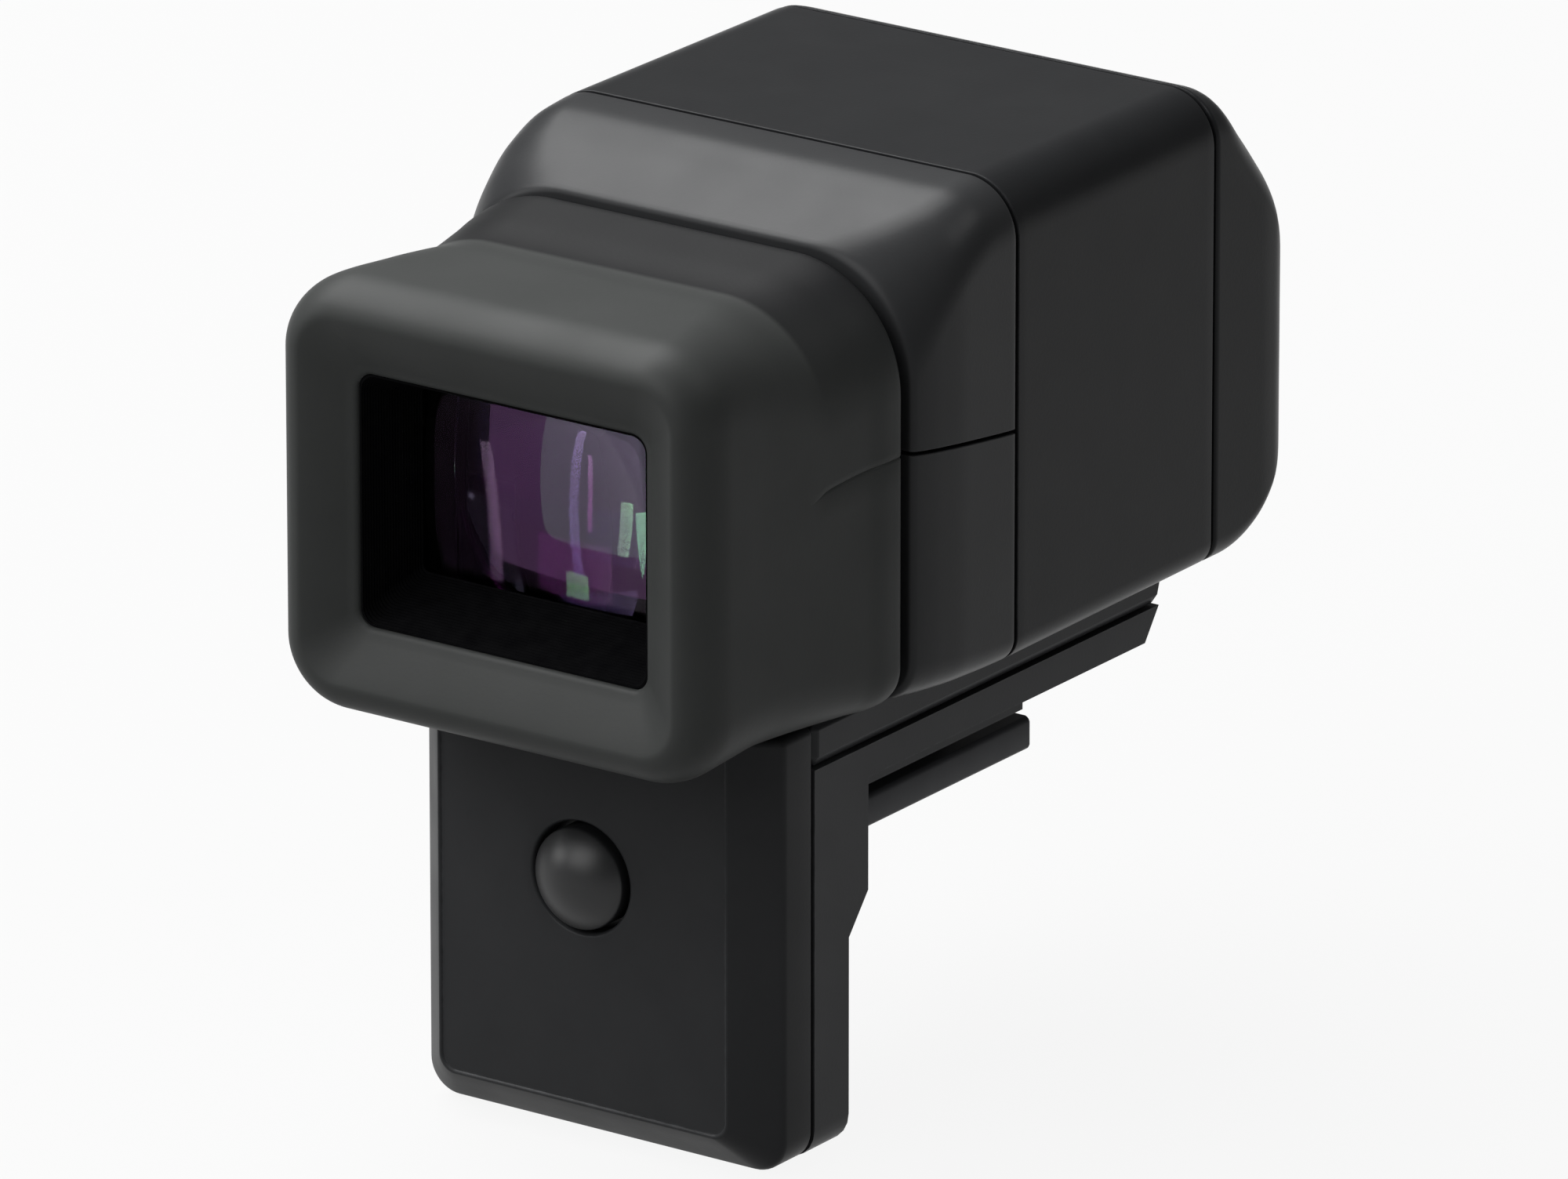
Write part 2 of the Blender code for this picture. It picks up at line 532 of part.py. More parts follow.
cap_stations = []
for depth, fall, edge in zip(cap_depth_shares, cap_fall_shares, cap_edge_shares):
    y = blend(CAP_FRONT_Y, FAR_Y, depth)
    low = round_under(y, HEAD_ROUND)
    high = blend(SEAM_2_TOP_Z, FAR_TOP_Z, fall)
    cap_stations.append((y, SEAM_2_HALF_WIDTH - FAR_EDGE * edge, low, high, SEAM_2_RADIUS, CASING_LOW_RADIUS))
cap_inner = [drawn_in(station, HEAD_WALL) for station in cap_stations[:-1]]
CAP_INNER_Y = FAR_Y - HEAD_WALL
cap_inner = [(blend(CAP_FRONT_Y, CAP_INNER_Y, (station[0] - CAP_FRONT_Y) / (FAR_Y - CAP_FRONT_Y)),) + station[1:]
             for station in cap_inner]
cap_inner = [(CAP_FRONT_Y - CUT_OVERRUN,) + cap_inner[0][1:]] + cap_inner[1:]
cap_cavity = loft("cap_cavity", cap_inner)
cut(cap_cavity, keep_box, keep_bore)
far_cap = loft("far_cap", cap_stations, colour=CHARCOAL, roughness=0.42, parent=head)
cut(far_cap, cap_cavity, notch_box, notch_bore, pin_bore)

# Rubber eyecup: a dished frame round the window, a snout, a dip and a collar
eyecup_depth_shares = (0.0, 0.04, 0.11, 0.28, 0.44, 0.58, 0.82, 0.93, 1.0)
eyecup_inset_shares = (1.0, 0.42, 0.14, 0.0, 0.0, 0.0, 0.0, 0.0, 0.0)
eyecup_flare_shares = (0.0, 0.0, 0.0, 0.05, 0.2, 0.35, 0.7, 1.0, 1.0)
eyecup_top_shares = (0.0, 0.0, 0.0, 0.0, 0.04, 0.08, 1.0, 0.0, 0.0)
eyecup_collar_shares = (0.0, 0.0, 0.0, 0.0, 0.0, 0.0, 0.0, 0.8, 1.0)
eyecup_low_shares = (0.0, 0.0, 0.0, 0.0, 0.1, 0.3, 0.8, 1.0, 1.0)
eyecup_chin_shares = (0.8, 1.0, 1.0, 0.6, 0.0, 0.0, 0.0, 0.0, 0.0)
eyecup_stations = []
for depth, inset, flare, dip, collar, low, chin in zip(eyecup_depth_shares, eyecup_inset_shares,
                                                       eyecup_flare_shares, eyecup_top_shares, eyecup_collar_shares,
                                                       eyecup_low_shares, eyecup_chin_shares):
    drawn = EYECUP_CREST_INSET * inset
    eyecup_stations.append((blend(EYECUP_FRONT_Y, EYECUP_REAR_Y, depth),
                            blend(EYECUP_HALF_WIDTH, MOUTH_HALF_WIDTH, flare) - drawn,
                            HEAD_BOTTOM_Z + drawn - EYECUP_CHIN * chin,
                            blend(EYECUP_TOP_Z, EYECUP_COLLAR_TOP_Z, collar) - EYECUP_DIP * dip - drawn,
                            blend(EYECUP_RADIUS, EYECUP_COLLAR_RADIUS, flare) - drawn,
                            blend(EYECUP_RADIUS, MOUTH_LOW_RADIUS, low) - drawn))
crest = eyecup_stations[0]
window_edge_y = EYECUP_FRONT_Y + EYECUP_DISH_DEPTH
dish_slope_run = EYECUP_FRONT_Y - EYECUP_DISH_DEPTH
window_cut = loft("window_cut", [
    (dish_slope_run, crest[1], crest[2], crest[3], crest[4], crest[5]),
    (EYECUP_FRONT_Y, crest[1] - EYECUP_CREST_WIDTH, crest[2] + EYECUP_CREST_WIDTH, crest[3] - EYECUP_CREST_WIDTH,
     WINDOW_CORNER * 2.0, WINDOW_CORNER * 2.0),
    lensed(window_edge_y, WINDOW_HALF_WIDTH, WINDOW_HALF_HEIGHT, WINDOW_CORNER),
    lensed(EYECUP_LIP_REAR_Y + CUT_OVERRUN, WINDOW_HALF_WIDTH, WINDOW_HALF_HEIGHT, WINDOW_CORNER)])
eyecup_pocket = loft("eyecup_pocket", [
    lensed(EYECUP_LIP_REAR_Y, HOUSING_HALF_WIDTH + FIT_GAP, HOUSING_HALF_HEIGHT + FIT_GAP, WINDOW_CORNER),
    lensed(EYECUP_REAR_Y + CUT_OVERRUN, HOUSING_HALF_WIDTH + FIT_GAP, HOUSING_HALF_HEIGHT + FIT_GAP, WINDOW_CORNER)])
eyecup = loft("eyecup", eyecup_stations, steps=6, colour=RUBBER, roughness=0.75, parent=head)
cut(eyecup, window_cut, eyecup_pocket)

# Black bezel that funnels down to the eyepiece glass
BEZEL_REAR_Y = HOUSING_FRONT_Y - FIT_GAP
bezel_funnel = loft("bezel_funnel", [
    lensed(EYECUP_LIP_REAR_Y, WINDOW_HALF_WIDTH, WINDOW_HALF_HEIGHT, WINDOW_CORNER),
    lensed(BEZEL_REAR_Y + CUT_OVERRUN, GLASS_SIGHT_HALF_WIDTH, GLASS_SIGHT_HALF_HEIGHT, WINDOW_CORNER / 2.0)])
window_bezel = loft("window_bezel", [
    lensed(EYECUP_LIP_REAR_Y + FIT_GAP, HOUSING_HALF_WIDTH, HOUSING_HALF_HEIGHT, WINDOW_CORNER / 2.0),
    lensed(BEZEL_REAR_Y, HOUSING_HALF_WIDTH, HOUSING_HALF_HEIGHT, WINDOW_CORNER / 2.0)],
    steps=3, colour=BLACK, roughness=0.35, parent=head)
cut(window_bezel, bezel_funnel)

# Eyepiece glass, seated in the front of the housing
GLASS_EDGE = 0.2 * MM
HOUSING_INNER_HALF_WIDTH = HOUSING_HALF_WIDTH - HOUSING_WALL
HOUSING_INNER_HALF_HEIGHT = HOUSING_HALF_HEIGHT - HOUSING_WALL
low, high = framed(HOUSING_FRONT_Y, HOUSING_FRONT_Y + GLASS_THICKNESS, HOUSING_INNER_HALF_WIDTH,
                   HOUSING_INNER_HALF_HEIGHT, FIT_GAP)
block("eyepiece_glass", low, high, edge=GLASS_EDGE, colour=GLASS, roughness=0.05, parent=head)

# Optics housing: a rectangular tube from the eyepiece to the display
low, high = framed(HOUSING_FRONT_Y, HOUSING_REAR_Y, HOUSING_HALF_WIDTH, HOUSING_HALF_HEIGHT)
housing = block("optics_housing", low, high, edge=WINDOW_CORNER / 2.0, colour=BLACK, roughness=0.6, parent=head)
low, high = framed(HOUSING_FRONT_Y - CUT_OVERRUN, HOUSING_REAR_Y + CUT_OVERRUN, HOUSING_HALF_WIDTH,
                   HOUSING_HALF_HEIGHT, HOUSING_WALL)
cut(housing, block("housing_bore", low, high))
CRANK_WINDOW_ROOM = 0.7 * MM
SWING_ROOM = 0.9 * MM
CRANK_WINDOW_HALF = CRANK_THROW + CRANK_WINDOW_ROOM
CRANK_WINDOW_RISE = CRANK_PIN_RADIUS + SWING_ROOM
cut(housing, block("crank_window",
                   (-HOUSING_HALF_WIDTH - CUT_OVERRUN, DIAL_Y - CRANK_WINDOW_HALF, CRANK_PIN_Z - CRANK_WINDOW_RISE),
                   (-HOUSING_HALF_WIDTH + HOUSING_WALL + CUT_OVERRUN, DIAL_Y + CRANK_WINDOW_HALF,
                    CRANK_PIN_Z + CRANK_WINDOW_RISE)))

# Lens carriage, sliding along the housing; its tab takes the crank pin
CARRIAGE_TRAVEL_ROOM = 1.8 * MM
CARRIAGE_LENGTH = 8.3 * MM
CARRIAGE_WALL = 1.0 * MM
TAB_TAIL = 2.6 * MM
TAB_RIM = 1.0 * MM
CARRIAGE_FRONT_Y = HOUSING_FRONT_Y + GLASS_THICKNESS + CARRIAGE_TRAVEL_ROOM
CARRIAGE_REAR_Y = CARRIAGE_FRONT_Y + CARRIAGE_LENGTH
TAB_REAR_Y = DIAL_Y + TAB_TAIL
SLOT_RISE = CRANK_PIN_RADIUS + FIT_GAP
SLOT_DROP = CRANK_PIN_RADIUS + SWING_ROOM
TAB_HALF_HEIGHT = SLOT_DROP + TAB_RIM
CARRIAGE_HALF_WIDTH = HOUSING_INNER_HALF_WIDTH - FIT_GAP
CARRIAGE_HALF_HEIGHT = HOUSING_INNER_HALF_HEIGHT - FIT_GAP
low, high = framed(CARRIAGE_FRONT_Y, CARRIAGE_REAR_Y, CARRIAGE_HALF_WIDTH, CARRIAGE_HALF_HEIGHT)
lens_carriage = block("lens_carriage", low, high, colour=BLACK, roughness=0.6, parent=carriage)
low, high = framed(CARRIAGE_FRONT_Y - CUT_OVERRUN, CARRIAGE_REAR_Y + CUT_OVERRUN, CARRIAGE_HALF_WIDTH,
                   CARRIAGE_HALF_HEIGHT, CARRIAGE_WALL)
carriage_bore = block("carriage_bore", low, high)
tab_embed = CARRIAGE_WALL / 8.0
carriage_tab = block("carriage_tab",
                     (-CARRIAGE_HALF_WIDTH + tab_embed, CARRIAGE_REAR_Y - CARRIAGE_WALL, CRANK_PIN_Z - TAB_HALF_HEIGHT),
                     (-CARRIAGE_HALF_WIDTH + CARRIAGE_WALL - tab_embed, TAB_REAR_Y, CRANK_PIN_Z + TAB_HALF_HEIGHT))
tab_slot = block("tab_slot",
                 (-CARRIAGE_HALF_WIDTH - CUT_OVERRUN, DIAL_Y - CRANK_PIN_RADIUS - FIT_GAP, CRANK_PIN_Z - SLOT_DROP),
                 (-CARRIAGE_HALF_WIDTH + CARRIAGE_WALL + CUT_OVERRUN, DIAL_Y + CRANK_PIN_RADIUS + FIT_GAP,
                  CRANK_PIN_Z + SLOT_RISE))
cut(lens_carriage, carriage_bore)
join(lens_carriage, carriage_tab)
cut(lens_carriage, tab_slot)

# Two lenses and the spacer between them, cropped to the carriage
LENS_EDGE = 0.6 * MM
LENS_FRONT_CURVE = 45.0 * MM
LENS_REAR_CURVE = 30.0 * MM
LENS_HALF_WIDTH = CARRIAGE_HALF_WIDTH - CARRIAGE_WALL - FIT_GAP
LENS_HALF_HEIGHT = CARRIAGE_HALF_HEIGHT - CARRIAGE_WALL - FIT_GAP
LENS_REACH = math.hypot(LENS_HALF_WIDTH, LENS_HALF_HEIGHT) + FIT_GAP
LENS_RINGS = 5


def lens(name, vertex_y, front_curve, rear_curve):
    """A biconvex lens with its front vertex at a given depth, cropped to the carriage's bore."""
    front_sag = front_curve - math.sqrt(front_curve ** 2 - LENS_REACH ** 2)
    rear_sag = rear_curve - math.sqrt(rear_curve ** 2 - LENS_REACH ** 2)
    profile = []
    for ring in range(LENS_RINGS + 1):
        radius = LENS_REACH * ring / LENS_RINGS
        profile.append((radius, front_curve - math.sqrt(front_curve ** 2 - radius ** 2)))
    rear_vertex = front_sag + LENS_EDGE + rear_sag
    for ring in range(LENS_RINGS, -1, -1):
        radius = LENS_REACH * ring / LENS_RINGS
        profile.append((radius, rear_vertex - rear_curve + math.sqrt(rear_curve ** 2 - radius ** 2)))
    piece = turned_y(name, profile, (0.0, vertex_y, OPTIC_Z), 32, colour=GLASS, roughness=0.03, parent=carriage)
    low, high = framed(vertex_y - CUT_OVERRUN, vertex_y + rear_vertex + CUT_OVERRUN, LENS_HALF_WIDTH, LENS_HALF_HEIGHT)
    boolean(piece, block(name + "_crop", low, high), "INTERSECT")
    return vertex_y + rear_vertex


LENS_AIR_GAP = 0.7 * MM
FRONT_LENS_Y = CARRIAGE_FRONT_Y + FIT_GAP
REAR_LENS_FRONT_CURVE = 60.0 * MM
front_lens_rear_y = lens("front_lens", FRONT_LENS_Y, LENS_FRONT_CURVE, LENS_REAR_CURVE)
REAR_LENS_Y = front_lens_rear_y + LENS_AIR_GAP
lens("rear_lens", REAR_LENS_Y, REAR_LENS_FRONT_CURVE, LENS_FRONT_CURVE)
SPACER_WALL = 0.6 * MM
seat_reach = LENS_HALF_HEIGHT - SPACER_WALL
spacer_front = front_lens_rear_y - LENS_REAR_CURVE + math.sqrt(LENS_REAR_CURVE ** 2 - seat_reach ** 2) + FIT_GAP
spacer_rear = (REAR_LENS_Y + REAR_LENS_FRONT_CURVE - math.sqrt(REAR_LENS_FRONT_CURVE ** 2 - seat_reach ** 2)
               - FIT_GAP)
low, high = framed(spacer_front, spacer_rear, LENS_HALF_WIDTH, LENS_HALF_HEIGHT)
spacer = block("lens_spacer", low, high, colour=BLACK, roughness=0.6, parent=carriage)
low, high = framed(spacer_front - CUT_OVERRUN, spacer_rear + CUT_OVERRUN, LENS_HALF_WIDTH, LENS_HALF_HEIGHT,
                   SPACER_WALL)
cut(spacer, block("spacer_bore", low, high))

# Field baffle at the rear of the housing, framing the display behind it
FRAME_SIDE_INSET = 0.5 * MM
FRAME_TOP_INSET = 0.2 * MM
PANEL_SIDE_INSET = 2.7 * MM
PANEL_TOP_INSET = 2.9 * MM
BAFFLE_SIDE_MASK = 1.7 * MM
BAFFLE_TOP_MASK = 1.5 * MM
FRAME_HALF_WIDTH = HOUSING_HALF_WIDTH - FRAME_SIDE_INSET
FRAME_HALF_HEIGHT = HOUSING_HALF_HEIGHT - FRAME_TOP_INSET
PANEL_HALF_WIDTH = FRAME_HALF_WIDTH - PANEL_SIDE_INSET
PANEL_HALF_HEIGHT = FRAME_HALF_HEIGHT - PANEL_TOP_INSET
BAFFLE_SIGHT_HALF_WIDTH = PANEL_HALF_WIDTH - BAFFLE_SIDE_MASK
BAFFLE_SIGHT_HALF_HEIGHT = PANEL_HALF_HEIGHT - BAFFLE_TOP_MASK
BAFFLE_SET_IN = 1.4 * MM
BAFFLE_FRONT_Y = HOUSING_REAR_Y - BAFFLE_SET_IN
BAFFLE_THICKNESS = 0.8 * MM
low, high = framed(BAFFLE_FRONT_Y, BAFFLE_FRONT_Y + BAFFLE_THICKNESS, HOUSING_INNER_HALF_WIDTH,
                   HOUSING_INNER_HALF_HEIGHT, FIT_GAP)
baffle = block("field_baffle", low, high, colour=BLACK, roughness=0.8, parent=head)
low, high = framed(BAFFLE_FRONT_Y - CUT_OVERRUN, BAFFLE_FRONT_Y + BAFFLE_THICKNESS + CUT_OVERRUN,
                   BAFFLE_SIGHT_HALF_WIDTH, BAFFLE_SIGHT_HALF_HEIGHT)
cut(baffle, block("baffle_sight", low, high))

# Display stack: frame, panel, diffuser, backlight and board
FRAME_FRONT_Y = HOUSING_REAR_Y + FIT_GAP
PANEL_Y = FRAME_FRONT_Y + FRAME_LIP + FIT_GAP
DIFFUSER_Y = PANEL_Y + PANEL_THICKNESS + FIT_GAP
BACKLIGHT_Y = DIFFUSER_Y + DIFFUSER_THICKNESS + FIT_GAP
low, high = framed(FRAME_FRONT_Y, FRAME_FRONT_Y + FRAME_DEPTH, FRAME_HALF_WIDTH, FRAME_HALF_HEIGHT)
display_frame = block("display_frame", low, high, colour=BLACK, roughness=0.6, parent=head)
low, high = framed(FRAME_FRONT_Y + FRAME_LIP, FRAME_FRONT_Y + FRAME_DEPTH + CUT_OVERRUN,
                   PANEL_HALF_WIDTH + FIT_GAP, PANEL_HALF_HEIGHT + FIT_GAP)
frame_bore = block("frame_bore", low, high)
low, high = framed(FRAME_FRONT_Y - CUT_OVERRUN, FRAME_FRONT_Y + FRAME_DEPTH, BAFFLE_SIGHT_HALF_WIDTH + FRAME_LIP,
                   BAFFLE_SIGHT_HALF_HEIGHT + FRAME_LIP)
cut(display_frame, frame_bore, block("frame_sight", low, high))
low, high = framed(PANEL_Y, PANEL_Y + PANEL_THICKNESS, PANEL_HALF_WIDTH, PANEL_HALF_HEIGHT)
block("display_panel", low, high, colour=BLACK, roughness=0.1, parent=head)
low, high = framed(DIFFUSER_Y, DIFFUSER_Y + DIFFUSER_THICKNESS, PANEL_HALF_WIDTH, PANEL_HALF_HEIGHT)
block("diffuser_sheet", low, high, colour=WHITE, roughness=0.5, parent=head)
low, high = framed(BACKLIGHT_Y, BACKLIGHT_Y + BACKLIGHT_THICKNESS, PANEL_HALF_WIDTH, PANEL_HALF_HEIGHT)
block("backlight_unit", low, high, colour=WHITE, roughness=0.4, parent=head)
BOARD_SIDE_INSET = 0.4 * MM
BOARD_TOP_INSET = 0.6 * MM
BOARD_HALF_WIDTH = FRAME_HALF_WIDTH - BOARD_SIDE_INSET
BOARD_HALF_HEIGHT = FRAME_HALF_HEIGHT - BOARD_TOP_INSET
BOARD_Y = FRAME_FRONT_Y + FRAME_DEPTH + FIT_GAP
low, high = framed(BOARD_Y, BOARD_Y + BOARD_THICKNESS, BOARD_HALF_WIDTH, BOARD_HALF_HEIGHT)
block("display_board", low, high, colour=BOARD, roughness=0.4, parent=head)
CHIP_HALF = 3.5 * MM
CHIP_THICKNESS = 0.9 * MM
CHIP_RISE = 3.0 * MM
CHIP_Y = BOARD_Y + BOARD_THICKNESS + FIT_GAP
CHIP_EDGE = 0.15 * MM
block("driver_chip", (-CHIP_HALF, CHIP_Y, OPTIC_Z + CHIP_RISE - CHIP_HALF),
      (CHIP_HALF, CHIP_Y + CHIP_THICKNESS, OPTIC_Z + CHIP_RISE + CHIP_HALF), edge=CHIP_EDGE, colour=BLACK,
      roughness=0.4, parent=head)
SOCKET_HALF_WIDTH = 4.5 * MM
SOCKET_HEIGHT = 2.2 * MM
SOCKET_DROP = 3.2 * MM
SOCKET_TOP_Z = OPTIC_Z - SOCKET_DROP
block("flex_socket", (-SOCKET_HALF_WIDTH, CHIP_Y, SOCKET_TOP_Z - SOCKET_HEIGHT),
      (SOCKET_HALF_WIDTH, CHIP_Y + SOCKET_THICKNESS, SOCKET_TOP_Z), colour=WHITE, roughness=0.5, parent=head)

# Floor cover under the head, held by two screws that bite in the display frame
FLOOR_SCREW_INSET = 1.9 * MM
FLOOR_SCREW_BITE = 1.5 * MM
FLOOR_SCREW_X = FLOOR_HALF_WIDTH - FLOOR_SCREW_INSET
FLOOR_SCREW_Y = FRAME_FRONT_Y + FRAME_DEPTH / 2.0
SCREW_HEAD_RADIUS = 1.3 * MM
SCREW_HEAD_HEIGHT = 0.5 * MM
SCREW_SHANK_RADIUS = 0.6 * MM
FLOOR_SCREW_LENGTH = OPTIC_Z - FRAME_HALF_HEIGHT - HEAD_BOTTOM_Z + FLOOR_SCREW_BITE
SCREW_SLOT_HALF = 0.2 * MM
SCREW_SLOT_DEPTH = 0.3 * MM
floor_cover = block("floor_cover", (-FLOOR_HALF_WIDTH, FLOOR_FRONT_Y, HEAD_BOTTOM_Z),
                    (FLOOR_HALF_WIDTH, FLOOR_REAR_Y, HEAD_BOTTOM_Z + FLOOR_THICKNESS), colour=CHARCOAL,
                    roughness=0.5, parent=head)


def screw(name, seat, direction, head_radius, head_height, shank_radius, length, parent=None):
    """A slotted screw: its head's outer face is at the seat, its shank runs along the direction."""
    seat, direction = Vector(seat), Vector(direction)
    under_head = seat + direction * head_height
    piece = rod(name, seat, under_head, head_radius, sides=20, colour=STEEL, roughness=0.3, metallic=1.0,
                parent=parent)
    shank = rod(name + "_shank", under_head - direction * (head_height / 2.0), seat + direction * length,
                shank_radius, sides=12)
    span = Vector([head_radius * 2.0 if direction[axis] == 0.0 else 0.0 for axis in range(3)])
    along = 0 if direction[0] == 0.0 else 1
    across = Vector((0.0, 0.0, 0.0))
    for axis in range(3):
        if direction[axis] == 0.0:
            across[axis] = span[axis] if axis == along else SCREW_SLOT_HALF
    depth_low = seat - direction * CUT_OVERRUN
    depth_high = seat + direction * SCREW_SLOT_DEPTH
    corner_a = depth_low - across
    corner_b = depth_high + across
    low = Vector([min(corner_a[axis], corner_b[axis]) for axis in range(3)])
    high = Vector([max(corner_a[axis], corner_b[axis]) for axis in range(3)])
    join(piece, shank)
    cut(piece, block(name + "_slot", low, high))
    return piece


for side, name in ((-1.0, "floor_screw_left"), (1.0, "floor_screw_right")):
    x = FLOOR_SCREW_X * side
    recess = rod(name + "_recess", (x, FLOOR_SCREW_Y, HEAD_BOTTOM_Z - CUT_OVERRUN),
                 (x, FLOOR_SCREW_Y, HEAD_BOTTOM_Z + SCREW_HEAD_HEIGHT + FIT_GAP), SCREW_HEAD_RADIUS + FIT_GAP,
                 sides=24)
    hole = rod(name + "_hole", (x, FLOOR_SCREW_Y, HEAD_BOTTOM_Z),
               (x, FLOOR_SCREW_Y, HEAD_BOTTOM_Z + FLOOR_SCREW_LENGTH + FIT_GAP), SCREW_SHANK_RADIUS + FIT_GAP, sides=16)
    cut(floor_cover, recess, hole)
    cut(display_frame, hole)
    screw(name, (x, FLOOR_SCREW_Y, HEAD_BOTTOM_Z), (0.0, 0.0, 1.0), SCREW_HEAD_RADIUS, SCREW_HEAD_HEIGHT,
          SCREW_SHANK_RADIUS, FLOOR_SCREW_LENGTH, parent=head)

# Hinge bracket: a bridge over the drum with an ear on either side
BRIDGE_HALF_DEPTH = 4.0 * MM
LEG_INSET = 0.32 * MM
LEG_HALF_DEPTH = EAR_RADIUS - LEG_INSET
BRIDGE_Z = HINGE_Z + NOTCH_RADIUS + NOTCH_WALL + FIT_GAP
bracket = block("hinge_bracket", (-EAR_OUTER_X, HINGE_Y - BRIDGE_HALF_DEPTH, BRIDGE_Z),
                (EAR_OUTER_X, HINGE_Y + BRIDGE_HALF_DEPTH, BRIDGE_Z + EAR_THICKNESS), colour=STEEL, roughness=0.35,
                metallic=1.0, parent=head)
for side, name in ((-1.0, "left"), (1.0, "right")):
    inner, outer = EAR_INNER_X * side, EAR_OUTER_X * side
    ear_disc = rod("ear_disc_" + name, (inner, HINGE_Y, HINGE_Z), (outer, HINGE_Y, HINGE_Z), EAR_RADIUS)
    ear_leg = block("ear_leg_" + name, (min(inner, outer), HINGE_Y - LEG_HALF_DEPTH, HINGE_Z),
                    (max(inner, outer), HINGE_Y + LEG_HALF_DEPTH, BRIDGE_Z + EAR_THICKNESS / 2.0))
    join(bracket, ear_leg, ear_disc)
cut(bracket, pin_bore)

# Hinge pin with a head on the right and a retaining clip on the left
pin_head_x = EAR_OUTER_X + FIT_GAP
hinge_pin = rod("hinge_pin", (-PIN_HALF_LENGTH - PIN_HEAD_THICKNESS, HINGE_Y, HINGE_Z),
                (pin_head_x + PIN_HEAD_THICKNESS / 2.0, HINGE_Y, HINGE_Z), PIN_RADIUS, colour=STEEL, roughness=0.25,
                metallic=1.0, parent=head)
join(hinge_pin, rod("pin_head", (pin_head_x, HINGE_Y, HINGE_Z), (pin_head_x + PIN_HEAD_THICKNESS, HINGE_Y, HINGE_Z),
                    PIN_HEAD_RADIUS))
pin_clip = rod("pin_clip", (-pin_head_x - PIN_HEAD_THICKNESS, HINGE_Y, HINGE_Z), (-pin_head_x, HINGE_Y, HINGE_Z),
               PIN_HEAD_RADIUS + FIT_GAP, sides=24, colour=STEEL, roughness=0.35, metallic=1.0, parent=head)
clip_mouth = block("clip_mouth", (-PIN_HALF_LENGTH - CUT_OVERRUN, HINGE_Y - PIN_RADIUS, HINGE_Z),
                   (-EAR_OUTER_X, HINGE_Y + PIN_RADIUS, HINGE_Z + PIN_HEAD_RADIUS * 2.0))
cut(pin_clip, pin_bore, clip_mouth)

# Hinge arm on the base: a flange in the base, a cranked neck and a ring round the pin
ARM_INSET = 0.4 * MM
ARM_SET_IN = 3.2 * MM
ARM_THICKNESS = 1.8 * MM
ARM_KNEE_RISE = 0.9 * MM
RING_ROOM = 0.6 * MM
FLANGE_REACH = 7.1 * MM
FLANGE_THICKNESS = 0.6 * MM
CHASSIS_THICKNESS = 0.7 * MM
CHASSIS_Z = BASE_BOTTOM_Z + BASE_WALL + FIT_GAP
ARM_HALF_WIDTH = DRUM_HALF_WIDTH - ARM_INSET
RING_RADIUS = DRUM_RADIUS - DRUM_WALL - RING_ROOM
ARM_REAR_Y = BASE_FAR_Y - ARM_SET_IN
ARM_KNEE_Z = BASE_TOP_Z + ARM_KNEE_RISE
FLANGE_FRONT_Y = ARM_REAR_Y - FLANGE_REACH
FLANGE_Z = CHASSIS_Z + CHASSIS_THICKNESS + FIT_GAP
neck_low_share = 0.85
neck_high_share = 0.2
neck_near_share = 0.3
neck_far_share = 1.3
knee_share = 0.4
neck_low_z = HINGE_Z - RING_RADIUS * neck_low_share
neck_high_z = HINGE_Z - RING_RADIUS * neck_high_share
arm_front_y = ARM_REAR_Y - ARM_THICKNESS
arm_points = [(FLANGE_FRONT_Y, FLANGE_Z), (ARM_REAR_Y, FLANGE_Z), (ARM_REAR_Y, ARM_KNEE_Z),
              (HINGE_Y - PIN_BORE * neck_near_share, neck_low_z), (HINGE_Y - PIN_BORE * neck_far_share, neck_high_z),
              (arm_front_y, ARM_KNEE_Z + ARM_THICKNESS * knee_share), (arm_front_y, FLANGE_Z + FLANGE_THICKNESS),
              (FLANGE_FRONT_Y, FLANGE_Z + FLANGE_THICKNESS)]
hinge_arm = side_outline("hinge_arm", arm_points, ARM_HALF_WIDTH, colour=STEEL, roughness=0.4, metallic=1.0)
ring_reach = ARM_HALF_WIDTH - FIT_GAP
join(hinge_arm, rod("arm_ring", (-ring_reach, HINGE_Y, HINGE_Z), (ring_reach, HINGE_Y, HINGE_Z), RING_RADIUS))
cut(hinge_arm, pin_bore)

# Drum cover: the rounded shell seen between the head's cheeks, slit for the arm's neck
drum = rod("drum_cover", (-DRUM_HALF_WIDTH, HINGE_Y, HINGE_Z), (DRUM_HALF_WIDTH, HINGE_Y, HINGE_Z), DRUM_RADIUS,
           sides=48, colour=CHARCOAL, roughness=0.42)
drum_bore = rod("drum_bore", (-DRUM_HALF_WIDTH - CUT_OVERRUN, HINGE_Y, HINGE_Z),
                (DRUM_HALF_WIDTH + CUT_OVERRUN, HINGE_Y, HINGE_Z), DRUM_RADIUS - DRUM_WALL)
slit_points = [(ARM_REAR_Y + FIT_GAP, FLANGE_Z), (ARM_REAR_Y + FIT_GAP, ARM_KNEE_Z - FIT_GAP),
               (HINGE_Y + FIT_GAP, neck_low_z - FIT_GAP), (HINGE_Y, HINGE_Z),
               (HINGE_Y - DRUM_RADIUS, HINGE_Z - FIT_GAP), (HINGE_Y - DRUM_RADIUS - CUT_OVERRUN, FLANGE_Z)]
drum_slit = side_outline("drum_slit", slit_points, DRUM_HALF_WIDTH + CUT_OVERRUN)
cut(drum, drum_bore, drum_slit)

